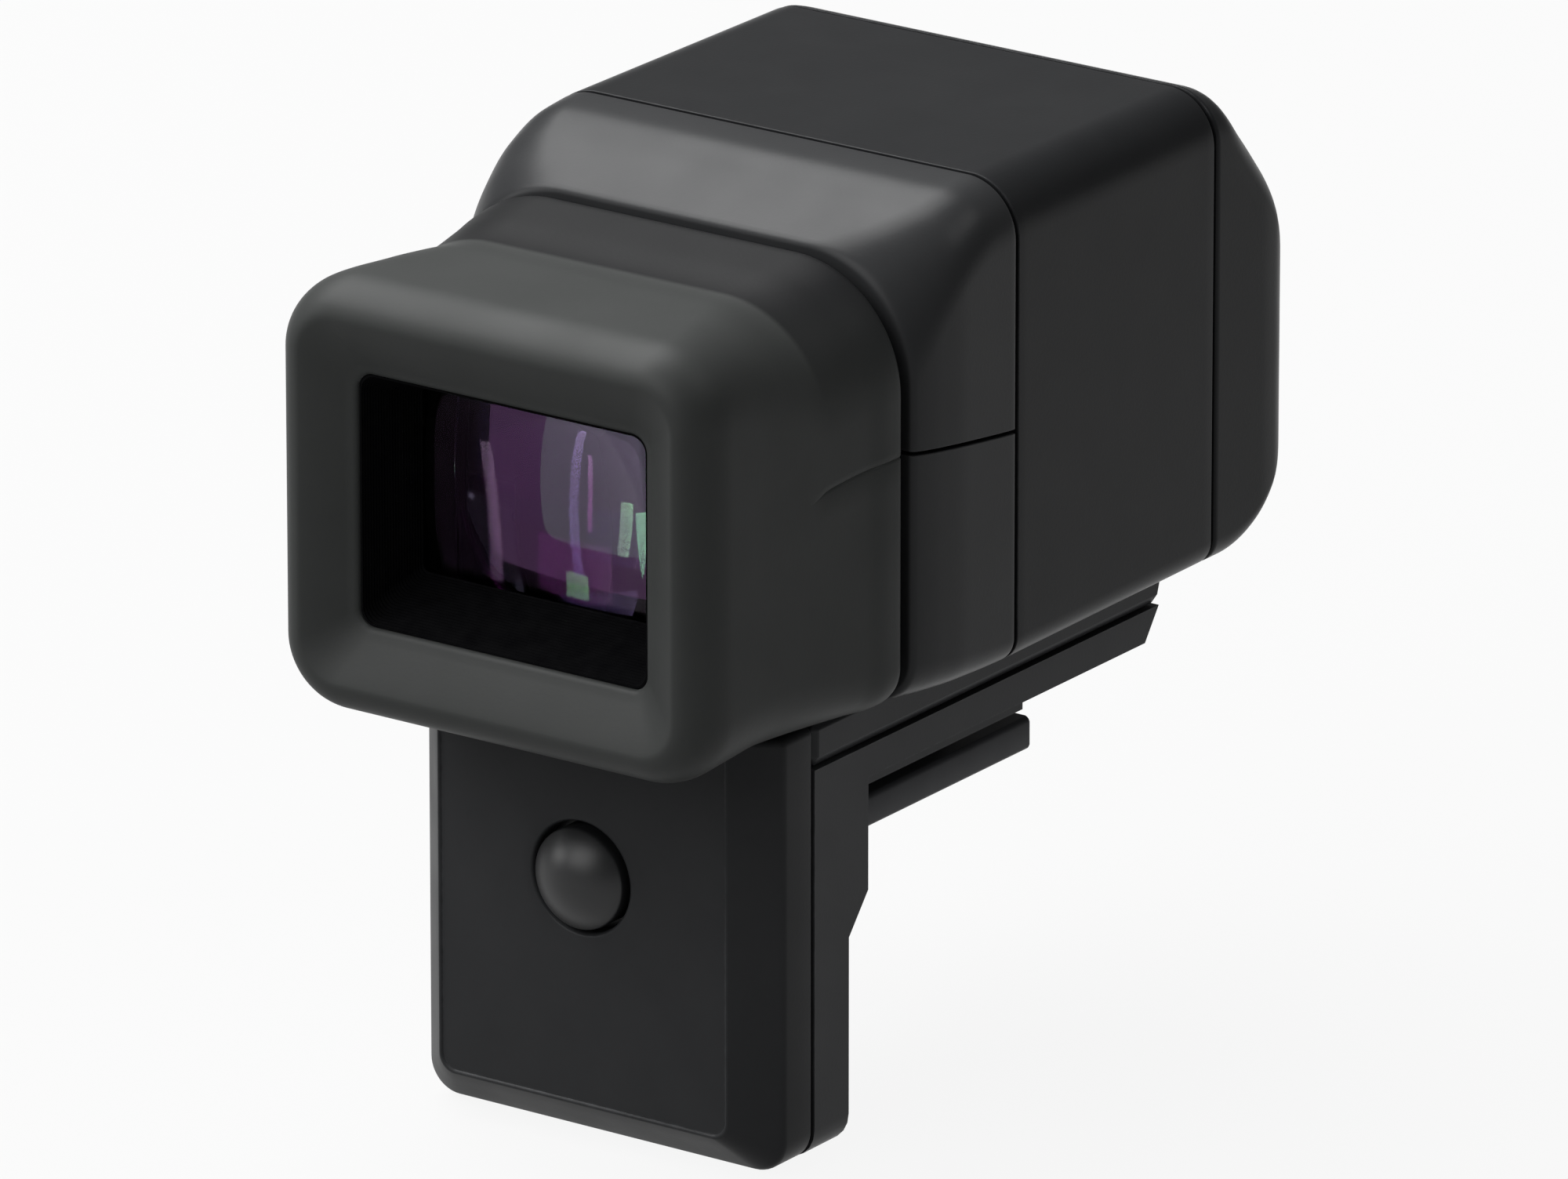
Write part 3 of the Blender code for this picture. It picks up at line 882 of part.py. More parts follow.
# Friction washers between the drum and the notch's walls
for side, name in ((-1.0, "friction_washer_left"), (1.0, "friction_washer_right")):
    start = (DRUM_HALF_WIDTH + FIT_GAP) * side
    finish = (DRUM_HALF_WIDTH + FIT_GAP + WASHER_THICKNESS) * side
    washer = rod(name, (start, HINGE_Y, HINGE_Z), (finish, HINGE_Y, HINGE_Z), WASHER_RADIUS, colour=STEEL,
                 roughness=0.3, metallic=1.0)
    cut(washer, pin_bore)

# Base upper cover
UPPER_LOW_Z = BASE_SEAM_Z + FIT_GAP / 2.0
LOWER_HIGH_Z = BASE_SEAM_Z - FIT_GAP / 2.0
REAR_COVER_FRONT_Y = POST_SEAM_Y + FIT_GAP / 2.0
FRONT_COVER_REAR_Y = POST_SEAM_Y - FIT_GAP / 2.0
slant_share = BASE_FAR_SLANT / (BASE_TOP_Z - BASE_BOTTOM_Z)


def far_edge(z):
    """Depth of the base's slanted far end at a given height."""
    return BASE_FAR_Y - slant_share * (BASE_TOP_Z - z) * (BASE_TOP_Z - z) / (BASE_TOP_Z - BASE_BOTTOM_Z)


upper_points = [(REAR_COVER_FRONT_Y, UPPER_LOW_Z), (REAR_COVER_FRONT_Y, BASE_TOP_Z),
                (BASE_FAR_Y - BASE_FAR_EASE, BASE_TOP_Z), (BASE_FAR_Y, BASE_TOP_Z - BASE_FAR_EASE),
                (far_edge(UPPER_LOW_Z), UPPER_LOW_Z)]
base_upper = side_outline("base_upper_cover", upper_points, BASE_HALF_WIDTH, colour=CHARCOAL, roughness=0.45)
upper_ease = base_upper.modifiers.new("eased edges", "BEVEL")
upper_ease.width = BASE_TOP_EDGE
upper_ease.segments = 1
BASE_CAVITY_FAR_Y = BASE_FAR_Y - BASE_FAR_SLANT - BASE_WALL
upper_cavity = block("upper_cavity",
                     (BASE_WALL - BASE_HALF_WIDTH, REAR_COVER_FRONT_Y - CUT_OVERRUN, UPPER_LOW_Z - CUT_OVERRUN),
                     (BASE_HALF_WIDTH - BASE_WALL, far_edge(UPPER_LOW_Z) - BASE_WALL, BASE_TOP_Z - BASE_WALL))
arm_slot = block("arm_slot", (-ARM_HALF_WIDTH - FIT_GAP, arm_front_y - FIT_GAP, FLANGE_Z),
                 (ARM_HALF_WIDTH + FIT_GAP, ARM_REAR_Y + FIT_GAP, BASE_TOP_Z + CUT_OVERRUN))
cut(base_upper, upper_cavity, arm_slot)

# Rear cover: the L-shaped tray that closes the base from below and the post from behind
shoulder_low_z = POST_SHOULDER_Z - POST_SHOULDER_DROP
rear_points = [(REAR_COVER_FRONT_Y, POST_BOTTOM_Z - CUT_OVERRUN), (REAR_COVER_FRONT_Y, LOWER_HIGH_Z),
               (far_edge(LOWER_HIGH_Z), LOWER_HIGH_Z), (far_edge(BASE_BOTTOM_Z), BASE_BOTTOM_Z),
               (POST_SHOULDER_Y, BASE_BOTTOM_Z), (POST_SHOULDER_Y, POST_SHOULDER_Z), (POST_REAR_Y, shoulder_low_z),
               (POST_REAR_Y, POST_BOTTOM_Z - CUT_OVERRUN)]
rear_cover = side_outline("base_rear_cover", rear_points, BASE_HALF_WIDTH + CUT_OVERRUN, colour=CHARCOAL,
                          roughness=0.45)
WIDE_TOP_Z = BASE_TOP_Z + CUT_OVERRUN
envelope = loft("rear_envelope", [
    (POST_FRONT_Y, BASE_HALF_WIDTH, POST_BOTTOM_Z, WIDE_TOP_Z, BASE_TOP_EDGE, POST_CORNER),
    (FAR_Y, BASE_HALF_WIDTH, POST_BOTTOM_Z, WIDE_TOP_Z, BASE_TOP_EDGE, POST_CORNER)])
boolean(rear_cover, envelope, "INTERSECT")
foot_boss = block("foot_boss", (-BOSS_HALF_WIDTH, POST_SHOULDER_Y - BASE_WALL / 2.0, BOSS_BOTTOM_Z),
                  (BOSS_HALF_WIDTH, BOSS_FAR_Y, BASE_BOTTOM_Z + BASE_WALL / 2.0))
join(rear_cover, foot_boss)
tray_x = BASE_HALF_WIDTH - BASE_WALL
cavity_points = [(REAR_COVER_FRONT_Y - CUT_OVERRUN, POST_BOTTOM_Z + BASE_WALL),
                 (REAR_COVER_FRONT_Y - CUT_OVERRUN, LOWER_HIGH_Z + CUT_OVERRUN),
                 (BASE_CAVITY_FAR_Y, LOWER_HIGH_Z + CUT_OVERRUN), (BASE_CAVITY_FAR_Y, BASE_BOTTOM_Z + BASE_WALL),
                 (POST_SHOULDER_Y - POST_WALL, BASE_BOTTOM_Z + BASE_WALL),
                 (POST_SHOULDER_Y - POST_WALL, POST_SHOULDER_Z + FIT_GAP),
                 (POST_REAR_Y - POST_WALL, shoulder_low_z + FIT_GAP),
                 (POST_REAR_Y - POST_WALL, POST_BOTTOM_Z + BASE_WALL)]
neck_opening = block("neck_opening",
                     (-NECK_HALF_WIDTH - FIT_GAP, NECK_FRONT_Y - FIT_GAP, BOSS_BOTTOM_Z - CUT_OVERRUN),
                     (NECK_HALF_WIDTH + FIT_GAP, NECK_REAR_Y + FIT_GAP, LOWER_HIGH_Z + CUT_OVERRUN))
cut(rear_cover, side_outline("tray_cavity", cavity_points, tray_x), neck_opening)

# Connector on the post's far side
CONNECTOR_RISE = 8.0 * MM
CONNECTOR_Z = POST_BOTTOM_Z + CONNECTOR_RISE
CONNECTOR_HALF_WIDTH = 6.3 * MM
CONNECTOR_HALF_HEIGHT = 2.1 * MM
CONNECTOR_WALL = 0.35 * MM
CONNECTOR_REACH = 4.3 * MM
CONNECTOR_END_Y = POST_REAR_Y + CONNECTOR_REACH
CONNECTOR_CORNER = 0.8 * MM
PLATE_THICKNESS = 0.8 * MM
BOARD_SET_FORWARD = 0.45 * MM
BOARD_SIDE_ROOM = 1.15 * MM
BOARD_FOOT_RISE = 4.7 * MM
BOARD_HEAD_DROP = 1.1 * MM
POST_BOARD_Y = POST_SEAM_Y - BOARD_SET_FORWARD
POST_BOARD_HALF_WIDTH = BASE_HALF_WIDTH - BASE_WALL - BOARD_SIDE_ROOM
POST_BOARD_LOW_Z = POST_BOTTOM_Z + BOARD_FOOT_RISE
POST_BOARD_HIGH_Z = BASE_BOTTOM_Z - BOARD_HEAD_DROP
post_board_rear_y = POST_BOARD_Y + PLATE_THICKNESS
connector_start_y = post_board_rear_y + FIT_GAP


def plug(y, half_width, half_height, radius):
    """A station round the connector's axis."""
    return (y, half_width, CONNECTOR_Z - half_height, CONNECTOR_Z + half_height, radius, radius)


connector_shell = loft("connector_shell", [
    plug(connector_start_y, CONNECTOR_HALF_WIDTH, CONNECTOR_HALF_HEIGHT, CONNECTOR_CORNER),
    plug(CONNECTOR_END_Y, CONNECTOR_HALF_WIDTH, CONNECTOR_HALF_HEIGHT, CONNECTOR_CORNER)],
    steps=3, colour=STEEL, roughness=0.25, metallic=1.0)
shell_inner_width = CONNECTOR_HALF_WIDTH - CONNECTOR_WALL
shell_inner_height = CONNECTOR_HALF_HEIGHT - CONNECTOR_WALL
cut(connector_shell, loft("connector_bore", [
    plug(connector_start_y - CUT_OVERRUN, shell_inner_width, shell_inner_height, CONNECTOR_CORNER - CONNECTOR_WALL),
    plug(CONNECTOR_END_Y + CUT_OVERRUN, shell_inner_width, shell_inner_height, CONNECTOR_CORNER - CONNECTOR_WALL)],
    steps=3))
CORE_SET_BACK = 0.6 * MM
CORE_GROOVE_HALF = 0.5 * MM
CORE_GROOVE_DEPTH = 3.2 * MM
CORE_END_WALL = 0.6 * MM
groove_end_wall = FIT_GAP + CORE_END_WALL
core_end_y = CONNECTOR_END_Y - CORE_SET_BACK
connector_core = block("connector_core",
                       (FIT_GAP - shell_inner_width, connector_start_y, CONNECTOR_Z - shell_inner_height + FIT_GAP),
                       (shell_inner_width - FIT_GAP, core_end_y, CONNECTOR_Z + shell_inner_height - FIT_GAP),
                       colour=BLACK, roughness=0.5)
cut(connector_core, block("core_groove",
                          (groove_end_wall - shell_inner_width, core_end_y - CORE_GROOVE_DEPTH,
                           CONNECTOR_Z - CORE_GROOVE_HALF),
                          (shell_inner_width - groove_end_wall, core_end_y + CUT_OVERRUN,
                           CONNECTOR_Z + CORE_GROOVE_HALF)))
cut(rear_cover, loft("connector_opening", [
    plug(POST_REAR_Y - POST_WALL - CUT_OVERRUN, CONNECTOR_HALF_WIDTH + FIT_GAP, CONNECTOR_HALF_HEIGHT + FIT_GAP,
         CONNECTOR_CORNER),
    plug(POST_REAR_Y + CUT_OVERRUN, CONNECTOR_HALF_WIDTH + FIT_GAP, CONNECTOR_HALF_HEIGHT + FIT_GAP,
         CONNECTOR_CORNER)], steps=3))

# Post front cover: chamfered round its face, with the button's hole
FRONT_COVER_TOP_EDGE = 0.5 * MM
chamfer_y = POST_FRONT_Y + POST_CHAMFER
face_x = BASE_HALF_WIDTH - POST_CHAMFER
face_z = POST_BOTTOM_Z + POST_CHAMFER
face_corner = POST_CORNER / 2.0
post_front = loft("post_front_cover", [
    (POST_FRONT_Y, face_x, face_z, BASE_TOP_Z, FRONT_COVER_TOP_EDGE, face_corner),
    (chamfer_y, BASE_HALF_WIDTH, POST_BOTTOM_Z, BASE_TOP_Z, FRONT_COVER_TOP_EDGE, POST_CORNER),
    (FRONT_COVER_REAR_Y, BASE_HALF_WIDTH, POST_BOTTOM_Z, BASE_TOP_Z, FRONT_COVER_TOP_EDGE, POST_CORNER)],
    colour=CHARCOAL, roughness=0.45)
post_cavity = loft("post_cavity", [
    (POST_FRONT_Y + POST_WALL, face_x - POST_WALL / 2.0, face_z + POST_WALL / 2.0, BASE_TOP_Z - BASE_WALL,
     FRONT_COVER_TOP_EDGE, FRONT_COVER_TOP_EDGE),
    (chamfer_y + POST_WALL / 2.0, tray_x, POST_BOTTOM_Z + BASE_WALL, BASE_TOP_Z - BASE_WALL, FRONT_COVER_TOP_EDGE,
     FRONT_COVER_TOP_EDGE),
    (FRONT_COVER_REAR_Y + CUT_OVERRUN, tray_x, POST_BOTTOM_Z + BASE_WALL, BASE_TOP_Z - BASE_WALL,
     FRONT_COVER_TOP_EDGE, FRONT_COVER_TOP_EDGE)], steps=2)
BUTTON_WELL = 0.4 * MM
button_hole = rod("button_hole", (0.0, POST_FRONT_Y - CUT_OVERRUN, BUTTON_Z),
                  (0.0, POST_FRONT_Y + POST_WALL + CUT_OVERRUN, BUTTON_Z), BUTTON_RADIUS + FIT_GAP, sides=40)
button_well = rod("button_well", (0.0, POST_FRONT_Y - BUTTON_WELL, BUTTON_Z),
                  (0.0, POST_FRONT_Y + BUTTON_WELL, BUTTON_Z),
                  BUTTON_RADIUS + FIT_GAP + BUTTON_WELL * 2.0, end_radius=BUTTON_RADIUS + FIT_GAP, sides=40)
cut(post_front, post_cavity, button_well, button_hole)

# Button with a domed face and a flange behind the wall
BUTTON_PROUD = 0.5 * MM
BUTTON_FLANGE_RADIUS = 3.6 * MM
BUTTON_FLANGE_THICKNESS = 0.5 * MM
DOME_RINGS = 5
flange_front = POST_WALL + FIT_GAP
button_profile = []
for ring in range(DOME_RINGS + 1):
    lift = math.radians(90.0 * ring / DOME_RINGS)
    button_profile.append((BUTTON_RADIUS * math.sin(lift) if ring else 0.0,
                           -BUTTON_PROUD * math.cos(lift)))
button_profile += [(BUTTON_RADIUS, flange_front), (BUTTON_FLANGE_RADIUS, flange_front),
                   (BUTTON_FLANGE_RADIUS, flange_front + BUTTON_FLANGE_THICKNESS),
                   (0.0, flange_front + BUTTON_FLANGE_THICKNESS)]
turned_y("select_button", button_profile, (0.0, POST_FRONT_Y, BUTTON_Z), 40, colour=CHARCOAL, roughness=0.3,
         parent=button)

# Switch behind the button, on the post's board
BUTTON_TRAVEL = 0.4 * MM
SWITCH_HALF = 2.3 * MM
PLUNGER_RADIUS = 1.2 * MM
plunger_y = POST_FRONT_Y + flange_front + BUTTON_FLANGE_THICKNESS + BUTTON_TRAVEL + FIT_GAP
switch_rear_y = POST_BOARD_Y - FIT_GAP
SWITCH_DEPTH = 1.1 * MM
tact_switch = block("tact_switch", (-SWITCH_HALF, switch_rear_y - SWITCH_DEPTH, BUTTON_Z - SWITCH_HALF),
                    (SWITCH_HALF, switch_rear_y, BUTTON_Z + SWITCH_HALF), colour=STEEL, roughness=0.35, metallic=1.0)
join(tact_switch, rod("switch_plunger", (0.0, plunger_y, BUTTON_Z),
                      (0.0, switch_rear_y - SWITCH_DEPTH / 2.0, BUTTON_Z), PLUNGER_RADIUS, sides=20))
post_board = block("post_board", (-POST_BOARD_HALF_WIDTH, POST_BOARD_Y, POST_BOARD_LOW_Z),
                   (POST_BOARD_HALF_WIDTH, post_board_rear_y, POST_BOARD_HIGH_Z), colour=BOARD, roughness=0.4)

# Screws through the rear cover into bosses of the front cover
POST_SCREW_INSET = 3.15 * MM
POST_SCREW_RISE = 3.0 * MM
POST_SCREW_BITE = 1.0 * MM
POST_SCREW_X = BASE_HALF_WIDTH - POST_SCREW_INSET
POST_SCREW_Z = POST_BOTTOM_Z + POST_SCREW_RISE
POST_SCREW_LENGTH = POST_REAR_Y - FRONT_COVER_REAR_Y + POST_SCREW_BITE
POST_BOSS_RADIUS = 1.5 * MM
for side, name in ((-1.0, "post_screw_left"), (1.0, "post_screw_right")):
    x = POST_SCREW_X * side
    boss = rod(name + "_boss", (x, chamfer_y - POST_WALL / 2.0, POST_SCREW_Z), (x, FRONT_COVER_REAR_Y, POST_SCREW_Z),
               POST_BOSS_RADIUS, sides=20)
    recess = rod(name + "_recess", (x, POST_REAR_Y + CUT_OVERRUN, POST_SCREW_Z),
                 (x, POST_REAR_Y - SCREW_HEAD_HEIGHT - FIT_GAP, POST_SCREW_Z), SCREW_HEAD_RADIUS + FIT_GAP, sides=24)
    hole = rod(name + "_hole", (x, POST_REAR_Y, POST_SCREW_Z),
               (x, POST_REAR_Y - POST_SCREW_LENGTH - FIT_GAP, POST_SCREW_Z), SCREW_SHANK_RADIUS + FIT_GAP, sides=16)
    join(post_front, boss)
    cut(post_front, hole)
    cut(rear_cover, recess, hole)
    screw(name, (x, POST_REAR_Y, POST_SCREW_Z), (0.0, -1.0, 0.0), SCREW_HEAD_RADIUS, SCREW_HEAD_HEIGHT,
          SCREW_SHANK_RADIUS, POST_SCREW_LENGTH)

# Chassis plate in the base
CHASSIS_SIDE_ROOM = 0.75 * MM
CHASSIS_LEAD = 0.5 * MM
CHASSIS_HALF_WIDTH = BASE_HALF_WIDTH - BASE_WALL - CHASSIS_SIDE_ROOM
CHASSIS_FRONT_Y = POST_SHOULDER_Y - CHASSIS_LEAD
chassis_rear_y = BASE_CAVITY_FAR_Y - FIT_GAP
chassis = block("base_chassis", (-CHASSIS_HALF_WIDTH, CHASSIS_FRONT_Y, CHASSIS_Z),
                (CHASSIS_HALF_WIDTH, chassis_rear_y, CHASSIS_Z + CHASSIS_THICKNESS), colour=STEEL, roughness=0.4,
                metallic=1.0)

# Shoe foot: the sliding plate and the neck up into the base
shoe_foot = loft("shoe_foot", [
    (-FOOT_HALF_LENGTH, FOOT_HALF_WIDTH - FOOT_CORNER, 0.0, FOOT_PLATE_THICKNESS, FOOT_EDGE, FOOT_EDGE),
    (FOOT_CORNER - FOOT_HALF_LENGTH, FOOT_HALF_WIDTH, 0.0, FOOT_PLATE_THICKNESS, FOOT_EDGE, FOOT_EDGE),
    (FOOT_HALF_LENGTH - FOOT_FAR_CORNER, FOOT_HALF_WIDTH, 0.0, FOOT_PLATE_THICKNESS, FOOT_EDGE, FOOT_EDGE),
    (FOOT_HALF_LENGTH, FOOT_HALF_WIDTH - FOOT_FAR_CORNER, 0.0, FOOT_PLATE_THICKNESS, FOOT_EDGE, FOOT_EDGE)],
    steps=2, colour=CHARCOAL, roughness=0.35, metallic=0.6)
join(shoe_foot, block("foot_neck", (-NECK_HALF_WIDTH, NECK_FRONT_Y, FOOT_PLATE_THICKNESS / 2.0),
                      (NECK_HALF_WIDTH, NECK_REAR_Y, NECK_TOP_Z)))

# Screws from the chassis down into the foot, and from the arm's flange into the chassis
FOOT_SCREW_SIDE_INSET = 2.1 * MM
FOOT_SCREW_END_INSET = 2.8 * MM
FOOT_SCREW_BITE = 2.7 * MM
FOOT_SCREW_X = NECK_HALF_WIDTH - FOOT_SCREW_SIDE_INSET
FOOT_SCREW_FRONT_Y = NECK_FRONT_Y + FOOT_SCREW_END_INSET
FOOT_SCREW_REAR_Y = NECK_REAR_Y - FOOT_SCREW_END_INSET
foot_screw_top_z = CHASSIS_Z + CHASSIS_THICKNESS + FIT_GAP + SCREW_HEAD_HEIGHT
FOOT_SCREW_LENGTH = foot_screw_top_z - NECK_TOP_Z + FOOT_SCREW_BITE
for side_name, side in (("left", -1.0), ("right", 1.0)):
    for place_name, y in (("front", FOOT_SCREW_FRONT_Y), ("rear", FOOT_SCREW_REAR_Y)):
        name = "foot_screw_" + place_name + "_" + side_name
        x = FOOT_SCREW_X * side
        hole = rod(name + "_hole", (x, y, foot_screw_top_z), (x, y, foot_screw_top_z - FOOT_SCREW_LENGTH - FIT_GAP),
                   SCREW_SHANK_RADIUS + FIT_GAP, sides=16)
        cut(shoe_foot, hole)
        cut(chassis, hole)
        screw(name, (x, y, foot_screw_top_z), (0.0, 0.0, -1.0), SCREW_HEAD_RADIUS, SCREW_HEAD_HEIGHT,
              SCREW_SHANK_RADIUS, FOOT_SCREW_LENGTH)

# Ribbon cable from the post's board up and along the base
RIBBON_THICKNESS = 0.2 * MM
RIBBON_EDGE_ROOM = 0.2 * MM
RIBBON_SHORTFALL = 5.5 * MM
RIBBON_TAIL = 5.4 * MM
ribbon_inner_x = ARM_HALF_WIDTH + FIT_GAP
ribbon_outer_x = CHASSIS_HALF_WIDTH - RIBBON_EDGE_ROOM
RIBBON_HALF_WIDTH = (ribbon_outer_x - ribbon_inner_x) / 2.0
RIBBON_X = (ribbon_outer_x + ribbon_inner_x) / 2.0
RIBBON_FAR_Y = BASE_FAR_Y - RIBBON_SHORTFALL
RIBBON_LOW_Z = POST_BOARD_HIGH_Z - RIBBON_TAIL
RIBBON_BEND = 0.6 * MM
ribbon_y = post_board_rear_y + FIT_GAP
ribbon_z = CHASSIS_Z + CHASSIS_THICKNESS + FIT_GAP
outer_z = ribbon_z + RIBBON_THICKNESS
inner_y = ribbon_y + RIBBON_THICKNESS
ribbon_points = [(ribbon_y, RIBBON_LOW_Z), (inner_y, RIBBON_LOW_Z), (inner_y, ribbon_z - RIBBON_BEND),
                 (inner_y + RIBBON_BEND, ribbon_z), (RIBBON_FAR_Y, ribbon_z), (RIBBON_FAR_Y, outer_z),
                 (inner_y + RIBBON_BEND, outer_z), (ribbon_y, ribbon_z - RIBBON_BEND)]
side_outline("base_ribbon", ribbon_points, RIBBON_HALF_WIDTH, centre_x=RIBBON_X, colour=AMBER, roughness=0.4)

# Dioptre wheel with a finger-gripped rim, and the crank on its shaft
DIAL_TEETH = 20
DIAL_TOOTH_DEPTH = 0.25 * MM
dial_face_x = -SEAM_1_HALF_WIDTH - DIAL_PROUD
dial_back_x = POCKET_FLOOR_X - FIT_GAP
wheel = rod("dioptre_wheel", (dial_face_x, DIAL_Y, DIAL_Z), (dial_back_x, DIAL_Y, DIAL_Z), DIAL_RADIUS,
            sides=DIAL_TEETH * 4, colour=CHARCOAL, roughness=0.4, parent=dial)
for vertex in wheel.data.vertices:
    turn = math.degrees(math.atan2(vertex.co.z, vertex.co.y)) % (360.0 / DIAL_TEETH)
    if turn > 180.0 / DIAL_TEETH:
        shrink = 1.0 - DIAL_TOOTH_DEPTH / DIAL_RADIUS
        vertex.co.y *= shrink
        vertex.co.z *= shrink
crank_outer_x = SEAT_INNER_X + FIT_GAP
CRANK_THICKNESS = 0.8 * MM
CRANK_RIM = 0.2 * MM
CRANK_RADIUS = CRANK_THROW + CRANK_PIN_RADIUS + CRANK_RIM
crank_inner_x = crank_outer_x + CRANK_THICKNESS
join(wheel, rod("wheel_shaft", (dial_back_x - DIAL_PROUD / 2.0, DIAL_Y, DIAL_Z), (crank_inner_x, DIAL_Y, DIAL_Z),
                DIAL_SHAFT_RADIUS, sides=20))
crank = rod("dial_crank", (crank_outer_x, DIAL_Y, DIAL_Z), (crank_inner_x, DIAL_Y, DIAL_Z), CRANK_RADIUS,
            colour=BLACK, roughness=0.5, parent=dial)
crank_pin_end = -CARRIAGE_HALF_WIDTH + CARRIAGE_WALL
join(crank, rod("crank_pin", (crank_inner_x - CRANK_THICKNESS / 2.0, DIAL_Y, CRANK_PIN_Z),
                (crank_pin_end, DIAL_Y, CRANK_PIN_Z), CRANK_PIN_RADIUS, sides=16))
cut(crank, rod("crank_bore", (crank_outer_x - CUT_OVERRUN, DIAL_Y, DIAL_Z),
               (crank_inner_x + CUT_OVERRUN, DIAL_Y, DIAL_Z), DIAL_SHAFT_RADIUS + FIT_GAP, sides=20))
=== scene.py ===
"""An electronic viewfinder for a hot shoe, dressed for its photograph."""

import bmesh
import bpy
import numpy as np
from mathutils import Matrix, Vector


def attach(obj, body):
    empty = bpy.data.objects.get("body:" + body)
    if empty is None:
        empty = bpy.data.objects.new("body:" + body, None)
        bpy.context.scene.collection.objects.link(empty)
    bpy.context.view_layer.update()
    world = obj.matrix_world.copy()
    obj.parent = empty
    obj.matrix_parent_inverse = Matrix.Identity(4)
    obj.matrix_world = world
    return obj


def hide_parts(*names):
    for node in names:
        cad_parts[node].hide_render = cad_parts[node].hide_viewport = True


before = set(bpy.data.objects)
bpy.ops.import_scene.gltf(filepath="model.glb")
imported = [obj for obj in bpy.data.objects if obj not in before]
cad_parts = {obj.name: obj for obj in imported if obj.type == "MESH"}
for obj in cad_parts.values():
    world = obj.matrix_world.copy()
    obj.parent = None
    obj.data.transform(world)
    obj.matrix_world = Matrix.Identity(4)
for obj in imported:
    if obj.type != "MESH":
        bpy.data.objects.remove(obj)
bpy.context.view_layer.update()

# Shoe foot. A hard plastic plate that slides into the camera's rails, with a neck moulded up into the base.
# Its edges are eased by the mould, and its rails are rubbed smooth where the shoe's spring presses.
mm = 0.001


def wire(tree, kind, inputs=None, **settings):
    """One shader node. Settings go on the node itself. Each named input takes a value, another node's output, or
    another node, which stands for its first output."""
    made = tree.nodes.new("ShaderNode" + kind)
    for name, value in settings.items():
        setattr(made, name, value)
    for name, value in (inputs or {}).items():
        value = value.outputs[0] if isinstance(value, bpy.types.Node) else value
        if isinstance(value, bpy.types.NodeSocket):
            tree.links.new(value, made.inputs[name])
        else:
            made.inputs[name].default_value = value
    return made


def blank_finish(name):
    """A new material with an empty node tree, and that tree."""
    finish = bpy.data.materials.new(name)
    finish.use_nodes = True
    finish.node_tree.nodes.clear()
    return finish, finish.node_tree


def surface(tree, inputs):
    """The material's Principled node with its inputs, joined to the output."""
    shade = wire(tree, "BsdfPrincipled", inputs)
    wire(tree, "OutputMaterial", {"Surface": shade})


def placed(name, data):
    """A new object made of the data, in the scene."""
    thing = bpy.data.objects.new(name, data)
    bpy.context.scene.collection.objects.link(thing)
    return thing


def smooth(mesh, crease=38.0):
    """Smooth shading, with sharp edges wherever faces meet at more than the crease's angle in degrees."""
    mesh.shade_smooth()
    mesh.set_sharp_from_angle(angle=np.radians(crease))


def open_group(name, takes, gives):
    """An empty node group with its named number inputs and outputs, and its two end nodes."""
    tree = bpy.data.node_groups.new(name, "ShaderNodeTree")
    for title, value in takes.items():
        tree.interface.new_socket(title, in_out="INPUT", socket_type="NodeSocketFloat").default_value = value
    for title in gives:
        tree.interface.new_socket(title, in_out="OUTPUT", socket_type="NodeSocketFloat")
    return tree, tree.nodes.new("NodeGroupInput").outputs, tree.nodes.new("NodeGroupOutput").inputs


# Spark-eroded mould grain: fine noise for the height, and two broader noises for tone and for polish
moulded_grain, takes, gives = open_group("moulded_grain", {"Fineness": 5200.0, "Mottle": 260.0},
                                         ("Height", "Tone", "Polish"))
spot = wire(moulded_grain, "TexCoord").outputs["Object"]
fine = wire(moulded_grain, "TexNoise", {"Vector": spot, "Scale": takes["Fineness"], "Detail": 3.0, "Roughness": 0.62})
broad = wire(moulded_grain, "TexNoise", {"Vector": spot, "Scale": takes["Mottle"], "Detail": 4.0, "Roughness": 0.55})
swung = wire(moulded_grain, "Mapping", {"Vector": spot, "Rotation": (0.6, 0.2, 1.1)})
sheen = wire(moulded_grain, "TexNoise", {"Vector": swung, "Scale": takes["Mottle"], "Detail": 2.0, "Roughness": 0.4})
moulded_grain.links.new(fine.outputs["Fac"], gives["Height"])
moulded_grain.links.new(broad.outputs["Fac"], gives["Tone"])
moulded_grain.links.new(sheen.outputs["Fac"], gives["Polish"])

# Edge wear: where the surface turns within a small radius, broken up by noise
edge_wear, takes, gives = open_group("edge_wear", {"Amount": 0.5}, ("Wear",))
rounded = wire(edge_wear, "Bevel", {"Radius": 0.22 * mm}, samples=4)
plain = wire(edge_wear, "NewGeometry")
facing = wire(edge_wear, "VectorMath", {0: rounded, 1: plain.outputs["Normal"]}, operation="DOT_PRODUCT")
turning = wire(edge_wear, "MapRange", {"Value": facing.outputs["Value"], "From Min": 0.985, "From Max": 0.86},
               interpolation_type="SMOOTHSTEP")
patch = wire(edge_wear, "TexNoise", {"Vector": wire(edge_wear, "TexCoord").outputs["Object"], "Scale": 900.0,
                                     "Detail": 5.0, "Roughness": 0.6})
broken = wire(edge_wear, "MapRange", {"Value": patch, "From Min": 0.40, "From Max": 0.62})
worn = wire(edge_wear, "Math", {0: turning, 1: broken}, operation="MULTIPLY")
scaled = wire(edge_wear, "Math", {0: worn, 1: takes["Amount"]}, operation="MULTIPLY")
edge_wear.links.new(scaled.outputs["Value"], gives["Wear"])


